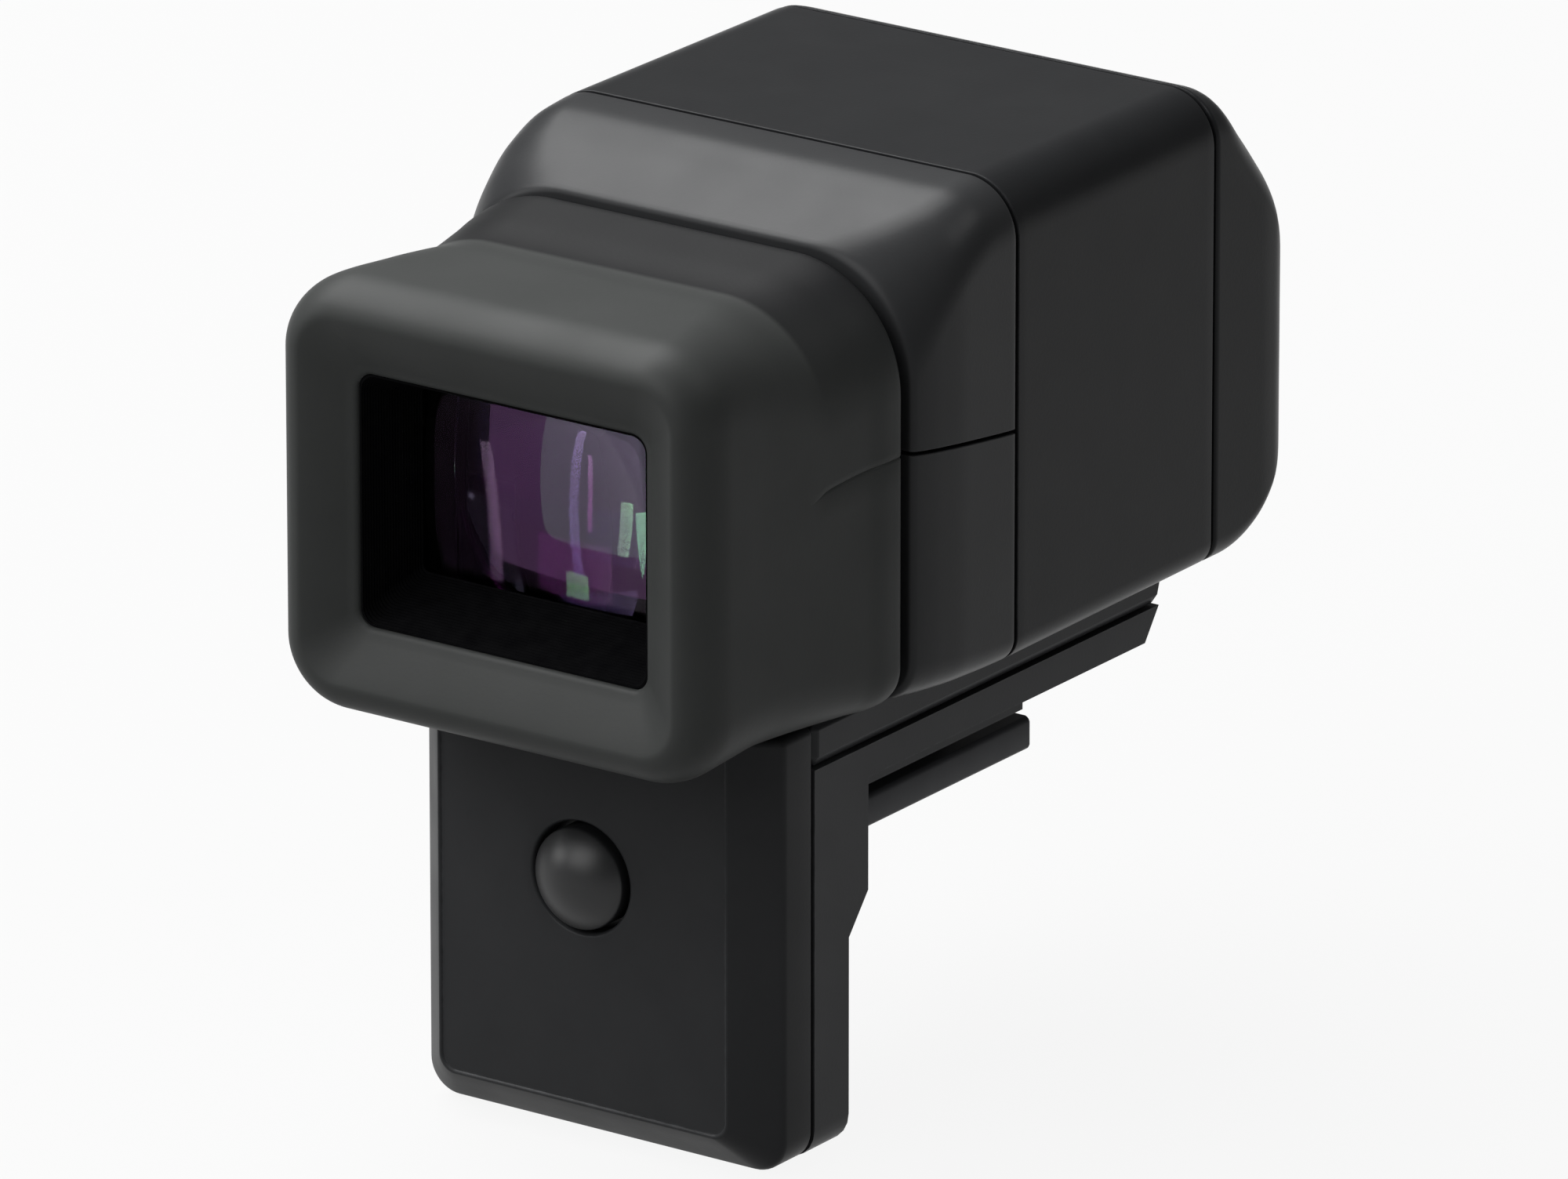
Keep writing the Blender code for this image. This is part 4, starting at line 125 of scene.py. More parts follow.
def moulded(name, dark, light, rubbed, rough, gloss, relief, fineness=5200.0, mottle=260.0, wear=0.5):
    """A moulded finish: the tone drifts between two near colours, edges are rubbed lighter, and the grain is relief.

    rough is (least, most) roughness, gloss the specular level and relief the grain's height in metres."""
    finish, tree = blank_finish(name)
    grain = wire(tree, "Group", node_tree=moulded_grain)
    edges = wire(tree, "Group", node_tree=edge_wear)
    for node, title, value in ((grain, "Fineness", fineness), (grain, "Mottle", mottle), (edges, "Amount", wear)):
        node.inputs[title].default_value = value
    tone = wire(tree, "MapRange", {"Value": grain.outputs["Tone"], "From Min": 0.32, "From Max": 0.68})
    body = wire(tree, "MixRGB", {"Fac": tone, "Color1": (*dark, 1.0), "Color2": (*light, 1.0)})
    colour = wire(tree, "MixRGB", {"Fac": edges.outputs["Wear"], "Color1": body, "Color2": (*rubbed, 1.0)})
    polish = wire(tree, "MapRange", {"Value": grain.outputs["Polish"], "From Min": 0.3, "From Max": 0.7,
                                     "To Min": rough[0], "To Max": rough[1]})
    ridge = wire(tree, "Bump", {"Strength": 1.0, "Distance": relief, "Height": grain.outputs["Height"]})
    surface(tree, {"Base Color": colour, "Roughness": polish, "Normal": ridge, "Specular IOR Level": gloss})
    return finish


def ease_edges(piece, title, width, steps, crease):
    """A Bevel modifier that rounds every edge where faces meet at more than the crease's angle in degrees."""
    ease = piece.modifiers.new(title, "BEVEL")
    ease.width, ease.segments = width, steps
    ease.limit_method, ease.angle_limit = "ANGLE", np.radians(crease)
    return ease


def eased_copy(node, width, steps):
    """A merged copy of a CAD node's mesh, flat neighbours joined, with a Bevel modifier to round its edges."""
    crease = 32.0
    shape = bmesh.new()
    shape.from_mesh(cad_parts[node].data)
    bmesh.ops.remove_doubles(shape, verts=shape.verts, dist=0.002 * mm)
    bmesh.ops.dissolve_limit(shape, angle_limit=np.radians(0.8), verts=shape.verts, edges=shape.edges)
    mesh = bpy.data.meshes.new(node + "_form")
    shape.to_mesh(mesh)
    shape.free()
    smooth(mesh, crease)
    piece = placed(node + "_form", mesh)
    ease_edges(piece, "eased edges", width, steps, crease).harden_normals = True
    return piece


def fit(piece, finish, body, slot, *nodes):
    """Gives a piece its finish and the body it rides on, and hides the CAD nodes that it stands for. The slot is not
    used.
    """
    piece.data.materials.clear()
    piece.data.materials.append(finish)
    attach(piece, body)
    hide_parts(*nodes)


def dress(node, width, finish, body, slot, steps=2):
    """Fits an eased copy of a CAD node in its place. The edges' width is in millimetres."""
    fit(eased_copy(node, width * mm, steps), finish, body, slot, node)


foot_finish = moulded("foot_satin", (0.038, 0.039, 0.042), (0.043, 0.044, 0.047), (0.10, 0.10, 0.105),
                      (0.38, 0.44), 0.08, 0.000004, mottle=420.0, wear=0.8)
dress("shoe_foot", 0.22, foot_finish, "base", "foot_plastic", steps=3)

# Base rear cover. One L-shaped moulding closes the base from below and the post from behind, and holds the connector.
# It is grained charcoal plastic, and two screws from the rear pull it to the front cover.
base_finish = moulded("base_satin", (0.0290, 0.0297, 0.0313), (0.0318, 0.0325, 0.0341), (0.075, 0.076, 0.080),
                      (0.38, 0.43), 0.09, 0.000005)
dress("base_rear_cover", 0.12, base_finish, "base", "base_plastic", steps=3)

# Base upper cover. A shallow lid over the base's tray, with the slot that the hinge arm rises through.
# It is the same grained plastic. Its lower edge comes down a little, so only a fine shadow line parts it from the tray.
lid_edge_z, lid_lowered = 6.75, 0.22
lid = eased_copy("base_upper_cover", 0.08 * mm, 3)
places = np.empty(len(lid.data.vertices) * 3)
lid.data.vertices.foreach_get("co", places)
places.reshape(-1, 3)[places[2::3] < lid_edge_z * mm, 2] -= lid_lowered * mm
lid.data.vertices.foreach_set("co", places)
fit(lid, base_finish, "base", "base_plastic", "base_upper_cover")


# Post front cover. A tray-shaped moulding whose wide chamfers run down both sides and under its face.
# It is the same grained plastic, with a fine chamfer round the button's hole.
def upright_rings(y, half_width, low, high, top_radius, low_radius, corner=12, side=10, part=None, over=True):
    """Upright rounded rectangles, one for each depth y, as sections x points x 3 in metres from sizes in millimetres.

    Each goes round from low on the right: a straight side, a quarter circle, and so on. A size may change from
    section to section. With part, a height for each section, only what is over it, or under it, is drawn."""
    y, half_width, low, high, top_radius, low_radius = np.broadcast_arrays(
        *(np.atleast_1d(np.asarray(size, float))[:, None] for size in (y, half_width, low, high, top_radius,
                                                                        low_radius)))
    share = np.linspace(0.0, 1.0, side + 2)
    quarter = np.radians(90.0 * np.linspace(0.0, 1.0, corner + 1))

    def straight(x0, z0, x1, z1):
        return x0 + (x1 - x0) * share[1:-1], z0 + (z1 - z0) * share[1:-1]

    def bend(x, z, radius, start):
        return x + radius * np.cos(quarter + start), z + radius * np.sin(quarter + start)

    right, left = half_width, -half_width
    top_right = bend(right - top_radius, high - top_radius, top_radius, 0.0)
    top = straight(right - top_radius, high, left + top_radius, high)
    top_left = bend(left + top_radius, high - top_radius, top_radius, np.pi / 2.0)
    low_left = bend(left + low_radius, low + low_radius, low_radius, np.pi)
    floor = straight(left + low_radius, low, right - low_radius, low)
    low_right = bend(right - low_radius, low + low_radius, low_radius, np.pi * 1.5)
    if part is None:
        runs = [straight(right, low + low_radius, right, high - top_radius), top_right, top, top_left,
                straight(left, high - top_radius, left, low + low_radius), low_left, floor, low_right]
    else:
        height = np.atleast_1d(np.asarray(part, float))[:, None] + 0.0 * y
        if over:
            runs = [(right, height), straight(right, height, right, high - top_radius), top_right, top, top_left,
                    straight(left, high - top_radius, left, height), (left, height)]
        else:
            runs = [(left, height), straight(left, height, left, low + low_radius), low_left, floor, low_right,
                    straight(right, low + low_radius, right, height), (right, height)]
    x = np.concatenate([run[0] + 0.0 * y for run in runs], axis=1)
    z = np.concatenate([run[1] + 0.0 * y for run in runs], axis=1)
    return np.stack([x, y + 0.0 * x, z], axis=2) * mm


def eased_line(points, radii, spacing):
    """A closed outline in two directions: each corner is a quadratic curve that begins and ends one radius from the
    corner, and the straights between are divided at about the spacing."""
    points = np.asarray(points, float)
    runs = []
    for i, (corner, radius) in enumerate(zip(points, radii)):
        before, after = points[i - 1] - corner, points[(i + 1) % len(points)] - corner
        start = corner + before / np.hypot(*before) * radius
        end = corner + after / np.hypot(*after) * radius
        t = np.linspace(0.0, 1.0, 6 if radius else 1)[:, None]
        runs.append((1.0 - t) ** 2 * start + 2.0 * t * (1.0 - t) * corner + t ** 2 * end)
    line = []
    for i, run in enumerate(runs):
        gap = runs[(i + 1) % len(runs)][0] - run[-1]
        t = np.linspace(0.0, 1.0, max(int(np.hypot(*gap) / spacing), 1) + 1)[1:-1, None]
        line += [run, run[-1] + gap * t]
    return np.concatenate(line)


def outward(name, points, faces):
    """A mesh of four-sided faces, all turned round if the enclosed volume comes out negative."""
    a, b, c, d = (points[faces[:, i]] for i in range(4))
    if np.sum(np.cross(a, b) * c) + np.sum(np.cross(a, c) * d) < 0.0:
        faces = faces[:, ::-1]
    mesh = bpy.data.meshes.new(name)
    mesh.from_pydata(points, [], faces)
    return mesh


def skin(name, grid, loop=True, closed_round=True, poles=False):
    """A piece whose four-sided faces join the points of a grid, rows x points x 3, and face outwards.

    With loop the last row joins the first. With closed_round each row is a full ring, and otherwise the two long
    edges are closed by faces between each row and the row that faces it across the wall. With poles the end rows
    have each shrunk to a point."""
    rows, count = grid.shape[:2]
    index = np.arange(rows * count).reshape(rows, count)
    if loop:
        index = np.vstack([index, index[:1]])
    if closed_round:
        index = np.hstack([index, index[:, :1]])
    faces = np.stack([index[:-1, :-1], index[:-1, 1:], index[1:, 1:], index[1:, :-1]], axis=2).reshape(-1, 4)
    if not closed_round:
        plain = np.arange(rows * count).reshape(rows, count)
        near = np.arange(rows // 2 - 1)
        far = rows - 1 - near
        for column, turn in ((0, 1), (count - 1, -1)):
            ends = plain[:, column]
            faces = np.vstack([faces, np.stack([ends[near], ends[near + 1], ends[far - 1], ends[far]],
                                               axis=1)[:, ::turn]])
    mesh = outward(name, grid.reshape(-1, 3), faces)
    if poles:
        shape = bmesh.new()
        shape.from_mesh(mesh)
        bmesh.ops.remove_doubles(shape, verts=shape.verts, dist=0.0005 * mm)
        shape.to_mesh(mesh)
        shape.free()
    smooth(mesh)
    return placed(name, mesh)


post_front, post_seam, post_low, post_high, post_half = -20.2, -15.4, -16.0, 8.9, 11.75
button_z, hole_radius, well_radius = -0.7, 3.15, 3.3
chamfer, wall = 2.3, 1.2
post_line = eased_line([(post_front, chamfer), (post_front + chamfer, 0.0), (post_seam, 0.0),
                        (post_seam, wall - 0.05), (post_front + chamfer + 0.5 * wall, wall),
                        (post_front + wall, chamfer + 0.5 * wall)], [0.22, 0.3, 0.12, 0.12, 0.2, 0.2], 0.9)
inset = post_line[:, 1]
outline = upright_rings(post_line[:, 0], post_half - inset, post_low + inset, post_high - 0.02 * inset,
                        np.maximum(0.5 - 0.15 * inset, 0.1), 1.9 - 0.4 * np.clip(inset, 0.0, 2.6), side=18)
bearing = np.arctan2(outline[0, :, 2] - button_z * mm, outline[0, :, 0])
hole_rows = [(hole_radius, wall), (hole_radius, 0.5), (hole_radius + 0.02, 0.2), (well_radius - 0.06, 0.07),
             (well_radius, 0.02), (well_radius + 0.08, 0.0)]
circle = np.stack([np.stack([radius * np.cos(bearing), post_front + depth + 0.0 * bearing,
                             button_z + radius * np.sin(bearing)], axis=1) for radius, depth in hole_rows]) * mm
face_share = np.linspace(0.0, 1.0, 12)[1:-1, None, None]
face = circle[-1] + (outline[0] - circle[-1]) * face_share
back = outline[-1] + (circle[0] - outline[-1]) * face_share[::2]
cover = skin("post_front_form", np.concatenate([circle, face, outline, back]))
face_finish = moulded("post_face_satin", (0.0165, 0.0170, 0.0180), (0.0182, 0.0187, 0.0197), (0.065, 0.066, 0.070),
                      (0.38, 0.43), 0.07, 0.000005)
fit(cover, face_finish, "base", "base_plastic", "post_front_cover")


# Select button. A domed cap of smoother plastic, with a flange behind the cover that keeps it in its hole.
# It is pressed against a tact switch, so its crown is polished by the finger.
def turned(name, profile, axis, count, ribs=0, rib_depth=0.0, rib_span=(0.0, 0.0)):
    """A surface turned about an axis through a centre: the profile lists (radius, distance along), from pole to pole.

    Each point is centre + along + radius x (cos, sin) of the turn. With ribs, the radius is less by a raised cosine
    of the turn wherever the distance lies in the rib's span. The axis is (centre, direction along)."""
    centre, along = (np.asarray(part, float) for part in axis)
    first = np.cross(along, (0.0, 0.0, 1.0) if abs(along[2]) < 0.9 else (1.0, 0.0, 0.0))
    first = first / np.linalg.norm(first)
    second = np.cross(along, first)
    turn = np.linspace(0.0, 2.0 * np.pi, count, endpoint=False)
    profile = np.asarray(profile, float)
    radius = profile[:, :1] + 0.0 * turn
    if ribs:
        inside = (profile[:, 1:] >= rib_span[0]) & (profile[:, 1:] <= rib_span[1])
        radius = radius - inside * rib_depth * (0.5 - 0.5 * np.cos(turn * ribs)) ** 2
    grid = (centre + profile[:, None, 1:] * along + radius[:, :, None] * np.cos(turn)[:, None] * first
            + radius[:, :, None] * np.sin(turn)[:, None] * second)
    return skin(name, grid * mm, loop=False, poles=True)


crown_proud, dome_edge = 1.6, 2.84
lift = np.radians(np.linspace(0.0, 52.0, 30))
ball = dome_edge / np.sin(lift[-1])
dome = [(ball * np.sin(a), ball * (1.0 - np.cos(a)) - crown_proud) for a in lift]
cap_line = dome + [(2.858, -0.15), (2.87, 0.05), (2.87, 1.5), (3.5, 1.5), (3.6, 1.56), (3.6, 1.94), (3.54, 2.0),
                   (1.8, 2.0), (0.0, 2.0)]
button_finish = moulded("button_satin", (0.0070, 0.0073, 0.0080), (0.0090, 0.0093, 0.0100), (0.05, 0.05, 0.052),
                        (0.38, 0.42), 0.36, 0.0000015, fineness=7000.0, mottle=500.0, wear=0.3)
fit(turned("button_form", cap_line, ((0.0, post_front, button_z), (0.0, 1.0, 0.0)), 96), button_finish, "button",
    "button_plastic", "select_button")

# Connector shell. A seamed tube of sheet steel, nickel plated, that plugs into the camera's accessory socket.
# Its mouth is rolled in a little, and two dimples in each broad side grip the socket.
plug_z, plug_half, plug_rise, plug_wall = -8.0, 6.3, 2.1, 0.35
plug_root, plug_mouth = -14.6, -7.6
dimple_x, dimple_y, dimple_radius, dimple_depth = 2.6, -9.6, 0.55, 0.16
shell_line = eased_line([(plug_root, 0.0), (plug_mouth - 0.35, 0.0), (plug_mouth, 0.14),
                         (plug_mouth, plug_wall + 0.06), (plug_mouth - 0.4, plug_wall), (plug_root, plug_wall)],
                        [0.05, 0.12, 0.05, 0.05, 0.08, 0.05], 0.25)
inset = shell_line[:, 1]
shell_grid = upright_rings(shell_line[:, 0], plug_half - inset, plug_z - plug_rise + inset,
                           plug_z + plug_rise - inset, 0.85 - 0.8 * inset, 0.85 - 0.8 * inset, corner=10, side=40)
reach = np.minimum(np.hypot(np.abs(shell_grid[..., 0]) / mm - dimple_x, shell_grid[..., 1] / mm - dimple_y)
                   / dimple_radius, 1.0)
broad_side = np.abs(shell_grid[..., 2] / mm - plug_z) > plug_rise - plug_wall - 0.05
shell_grid[..., 2] -= (np.sign(shell_grid[..., 2] / mm - plug_z) * broad_side * dimple_depth * mm
                       * (0.5 + 0.5 * np.cos(np.pi * reach)))


def plated(name, colour, rough, scratch, gain):
    """A metal finish: scratches drawn out along one direction vary its roughness and relief, and a cloud its tone.

    rough is (least, most) roughness, scratch the scratches' scale along each axis and gain their depth in metres."""
    finish, tree = blank_finish(name)
    place = wire(tree, "TexCoord").outputs["Object"]
    drawn = wire(tree, "Mapping", {"Vector": place, "Scale": scratch})
    lines = wire(tree, "TexNoise", {"Vector": drawn, "Scale": 1.0, "Detail": 4.0, "Roughness": 0.65})
    cloud = wire(tree, "TexNoise", {"Vector": place, "Scale": 500.0, "Detail": 3.0})
    dull = tuple(channel * 0.82 for channel in colour)
    tone = wire(tree, "MixRGB", {"Fac": cloud, "Color1": (*colour, 1.0), "Color2": (*dull, 1.0)})
    polish = wire(tree, "MapRange", {"Value": lines, "From Min": 0.3, "From Max": 0.7, "To Min": rough[0],
                                     "To Max": rough[1]})
    ridge = wire(tree, "Bump", {"Strength": 0.5, "Distance": gain, "Height": lines})
    surface(tree, {"Base Color": tone, "Roughness": polish, "Metallic": 1.0, "Normal": ridge})
    return finish


nickel = plated("nickel_plate", (0.66, 0.65, 0.62), (0.14, 0.26), (9000.0, 500.0, 9000.0), 0.000001)
fit(skin("connector_shell_form", shell_grid), nickel, "base", "connector_metal", "connector_shell")

# Connector core. A black insulator with a slot along it, and a row of gilt contact blades let into the slot's roof.
# It is moulded round its contacts and pushed into the shell from the post's side.
black_finish = moulded("flat_black", (0.0045, 0.0045, 0.0050), (0.0070, 0.0070, 0.0075), (0.016, 0.016, 0.017),
                       (0.80, 0.92), 0.03, 0.000003, mottle=600.0, wear=0.3)
dress("connector_core", 0.08, black_finish, "base", "black_plastic")
blade_x = np.linspace(-4.5, 4.5, 13)[:, None]
blade_thick, blade_hook, blade_low = 0.14, 0.14, -7.62
strip = np.linspace(-10.9, -8.45, 9)
low_line = np.stack([strip, blade_low - blade_hook * np.sin(np.linspace(0.0, np.pi, 9)) ** 2], axis=1)
blade_side = np.concatenate([low_line, low_line[::-1] + (0.0, blade_thick)])
middle = blade_side.mean(axis=0)
blades = []
for edge, squeeze in ((-0.13, 0.02), (-0.11, 0.0), (0.11, 0.0), (0.13, 0.02)):
    drawn = middle + (blade_side - middle) * (1.0 - squeeze)
    blades.append(np.stack([blade_x + edge + 0.0 * drawn[:, 0], drawn[:, 0] + 0.0 * blade_x,
                            drawn[:, 1] + 0.0 * blade_x], axis=2))
blades = np.stack(blades, axis=1) * mm
count, rows, round_count = blades.shape[:3]
index = np.arange(count * rows * round_count).reshape(count, rows, round_count)
wrap = np.concatenate([index, index[:, :, :1]], axis=2)
sides = np.stack([wrap[:, :-1, :-1], wrap[:, :-1, 1:], wrap[:, 1:, 1:], wrap[:, 1:, :-1]], axis=3).reshape(-1, 4)
near = np.arange(round_count // 2 - 1)
ends = [np.stack([index[:, row, near], index[:, row, near + 1], index[:, row, round_count - 2 - near],
                  index[:, row, round_count - 1 - near]], axis=2).reshape(-1, 4)[:, ::turn]
        for row, turn in ((0, -1), (rows - 1, 1))]
blade_mesh = outward("connector_contacts", blades.reshape(-1, 3), np.concatenate([sides, *ends]))
smooth(blade_mesh)
contacts = placed("connector_contacts", blade_mesh)
gilt = plated("gilt_contact", (0.86, 0.62, 0.26), (0.18, 0.30), (900.0, 9000.0, 9000.0), 0.0000005)
contacts.data.materials.append(gilt)
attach(contacts, "base")

# Post screws, floor screws and foot screws. Small slotted screws in dark plated steel. The post's two pull its covers
# together and the floor's two hold the head's panel, with their heads let in. The foot's four stand on the chassis.
screw_steel = plated("screw_steel", (0.20, 0.20, 0.21), (0.28, 0.42), (2500.0, 2500.0, 2500.0), 0.000001)
for node, body in (("post_screw_left", "base"), ("post_screw_right", "base"), ("floor_screw_left", "head"),
                   ("floor_screw_right", "head"), ("foot_screw_front_left", "base"),
                   ("foot_screw_front_right", "base"), ("foot_screw_rear_left", "base"),
                   ("foot_screw_rear_right", "base")):
    dress(node, 0.06, screw_steel, body, "screw_steel")

# Hinge. A pressed steel arm rises from the base and rings the pin, a bracket in the head straddles it, and two spring
# washers give the friction. A grained half drum covers the arm where it shows between the head's cheeks. The base's
# chassis and the switch behind the button are of the bracket's bright steel.
casing_finish = moulded("casing_satin", (0.0085, 0.0089, 0.0096), (0.0097, 0.0101, 0.0108), (0.046, 0.047, 0.050),
                        (0.33, 0.37), 0.085, 0.000005, wear=0.45)
dress("drum_cover", 0.15, casing_finish, "base", "casing_plastic", steps=3)
black_steel = plated("black_steel", (0.075, 0.076, 0.080), (0.34, 0.48), (400.0, 6000.0, 6000.0), 0.000001)
dress("hinge_arm", 0.06, black_steel, "base", "sheet_steel")
pressed_steel = plated("pressed_steel", (0.50, 0.50, 0.51), (0.26, 0.42), (400.0, 6000.0, 6000.0), 0.000001)
for node, body in (("friction_washer_left", "base"), ("friction_washer_right", "base"),
                   ("hinge_bracket", "head"), ("hinge_pin", "head"), ("pin_clip", "head"),
                   ("base_chassis", "base"), ("tact_switch", "base")):
    dress(node, 0.06, pressed_steel, body, "sheet_steel")


# Front casing. Two half shells meet on an arched part line; the upper one slopes up from the mouth to the seam.
# They are grained charcoal plastic, a shade lighter than the sleeve's, clipped together round the optics housing.
def smooth_along(at, marks, values):
    """Value at each place along a length: cubic Hermite pieces through the marked values, where each slope is the
    harmonic mean of its neighbours' rises, or level where they differ in sign, so the curve never swings past."""
    at, marks, values = (np.asarray(line, float) for line in (at, marks, values))
    step = np.diff(marks)
    rise = np.diff(values) / step
    both = rise[:-1] * rise[1:]
    total = np.where(np.abs(rise[:-1] + rise[1:]) > 1e-12, rise[:-1] + rise[1:], 1.0)
    slope = np.concatenate([rise[:1], np.where(both > 0.0, 2.0 * both / total, 0.0), rise[-1:]])
    i = np.clip(np.searchsorted(marks, at, side="right") - 1, 0, len(step) - 1)
    t = np.clip((at - marks[i]) / step[i], 0.0, 1.0)
    return (values[i] * (1.0 + 2.0 * t) * (1.0 - t) ** 2 + values[i + 1] * t * t * (3.0 - 2.0 * t)
            + slope[i] * step[i] * t * (1.0 - t) ** 2 - slope[i + 1] * step[i] * t * t * (1.0 - t))


head_low, part_gap, shell_wall = 9.2, 0.11, 1.3
front_mouth_y, front_seam_y = -10.6, -1.75
front_marks = front_mouth_y + (front_seam_y - front_mouth_y) * np.array([0.0, 0.08, 0.25, 0.5, 0.75, 1.0])


def front_rings(line, **more):
    """The front casing's section at each depth of a line of (depth, inset): width, top and corners swell smoothly."""
    y, inset = line[:, 0], line[:, 1]
    half_width = smooth_along(y, front_marks, [14.9, 15.11, 15.35, 15.5, 15.5, 15.5])
    top = smooth_along(y, front_marks, [34.05, 34.33, 34.90, 35.66, 36.25, 36.40])
    radius = smooth_along(y, front_marks, [7.0, 6.3, 5.0, 3.8, 3.35, 3.2])
    low_radius = smooth_along(y, front_marks, [2.6, 2.54, 2.3, 1.98, 1.73, 1.6])
    return upright_rings(y, half_width - inset, head_low + inset, top - inset, np.maximum(radius - inset, 0.3),
                         np.maximum(low_radius - inset, 0.3), corner=20, side=14, **more)


def arched_part(y, gap):
    """Height of the part line: a shallow arch that is highest near the mouth, moved by half the shadow gap."""
    return smooth_along(y, [-19.0, -17.6, -14.4, -12.0, -10.5, -6.8, -2.9, -1.6],
                        [22.95, 23.35, 23.60, 23.66, 23.52, 23.12, 22.62, 22.48]) + gap


along_out = np.concatenate([[front_mouth_y, -10.57, -10.48, -10.36], np.linspace(-10.2, -2.0, 26),
                            [-1.87, -1.79, front_seam_y]])
inset_out = np.concatenate([[0.30, 0.16, 0.05, 0.0], np.zeros(26), [0.01, 0.03, 0.08]])
along_in = np.concatenate([[front_seam_y, -1.8], np.linspace(-2.0, -10.2, 29), [-10.5, front_mouth_y]])
inset_in = np.concatenate([[1.2, 1.28], np.full(30, shell_wall), [1.22]])
front_line = np.stack([np.concatenate([along_out, along_in]), np.concatenate([inset_out, inset_in])], axis=1)
front_finish = moulded("front_casing_satin", (0.0170, 0.0175, 0.0184), (0.0188, 0.0193, 0.0202),
                       (0.050, 0.051, 0.054), (0.33, 0.37), 0.10, 0.000005, wear=0.45)
for title, over, gap, node in (("front_upper_form", True, part_gap, "front_casing_upper"),
                               ("front_lower_form", False, -part_gap, "front_casing_lower")):
    shell = front_rings(front_line, part=arched_part(front_line[:, 0], gap), over=over)
    piece = skin(title, shell, closed_round=False)
    ease_edges(piece, "eased part line", 0.07 * mm, 2, 50.0)
    fit(piece, front_finish, "head", "casing_plastic", node)

# Main casing. One sleeve between the two seams, open below for the floor cover and notched behind for the hinge drum.
# It is the same grained plastic, slid on from the rear, with a fine shadow gap to its neighbours.
hinge_y, hinge_z, drum_room, drum_half = 19.1, 15.4, 5.9, 8.0
sleeve_front_y, taper_from_y, sleeve_far_y = -1.5, -1.45, 17.45


def carve(piece, *tools):
    """Cuts each tool out of a piece with an exact Boolean, keeps the result as its own mesh and deletes the tools."""
    for tool in tools:
        step = piece.modifiers.new("cut", "BOOLEAN")
        step.operation = "DIFFERENCE"
        step.solver = "EXACT"
        step.object = tool
    graph = bpy.context.evaluated_depsgraph_get()
    mesh = bpy.data.meshes.new_from_object(piece.evaluated_get(graph))
    piece.modifiers.clear()
    old = piece.data
    piece.data = mesh
    bpy.data.meshes.remove(old)
    for tool in tools:
        bpy.data.objects.remove(tool, do_unlink=True)
    smooth(mesh)


def cutting_box(low, high):
    """A plain box from corner to corner, in millimetres, made only to cut with."""
    step = np.array(np.meshgrid([0, 1], [0, 1], [0, 1], indexing="ij")).reshape(3, -1).T
    corners = (np.asarray(low) + step * (np.asarray(high) - np.asarray(low))) * mm
    mesh = bpy.data.meshes.new("cutting_box")
    mesh.from_pydata(corners, [], [(0, 1, 3, 2), (4, 6, 7, 5), (0, 4, 5, 1), (2, 3, 7, 6), (0, 2, 6, 4),
                                   (1, 5, 7, 3)])
    return placed("cutting_box", mesh)


def hinge_tools():
    """The drum's room, made only to cut with: a box under the hinge axis and a bore about it."""
    bore = turned("cutting_bore", [(0.0, -drum_half), (drum_room, -drum_half), (drum_room, drum_half),
                                   (0.0, drum_half)], ((0.0, hinge_y, hinge_z), (1.0, 0.0, 0.0)), 96)
    return cutting_box((-drum_half, 12.6, 8.0), (drum_half, 27.0, hinge_z)), bore


main_line = eased_line([(sleeve_front_y, 0.0), (sleeve_far_y, 0.0), (sleeve_far_y, shell_wall),
                        (sleeve_front_y, shell_wall)], [0.06, 0.1, 0.1, 0.1], 0.7)
y, inset = main_line[:, 0], main_line[:, 1]
share = (y - taper_from_y) / (sleeve_far_y - taper_from_y)
sleeve = upright_rings(y, 15.5 - 0.2 * share - inset, head_low + inset, 36.4 - 0.1 * share - inset,
                       3.2 - 0.2 * share - inset, np.maximum(1.6 - inset, 0.3), corner=20, side=14)
main = skin("main_casing_form", sleeve)
carve(main, *hinge_tools(), cutting_box((-10.2, 0.5, 8.0), (10.2, 10.7, 11.5)))
fit(main, casing_finish, "head", "casing_plastic", "main_casing")

# Floor cover. A small panel that closes the head from below, held up by two screws from underneath.
# It is the same grained plastic, seldom seen except when the head is tilted up.
dress("floor_cover", 0.1, casing_finish, "head", "casing_plastic")

# Far cap. The head's closed end slopes down from the second seam and rounds under about the hinge.
# It is the same grained plastic, slid on last, with the notch that clears the drum.
cap_seam_y, cap_far_y, low_radius_about_hinge = 17.75, 25.3, 6.2
cap_marks = cap_seam_y + (cap_far_y - cap_seam_y) * np.array([0.0, 0.19, 0.41, 0.6, 0.78, 0.93, 1.0])


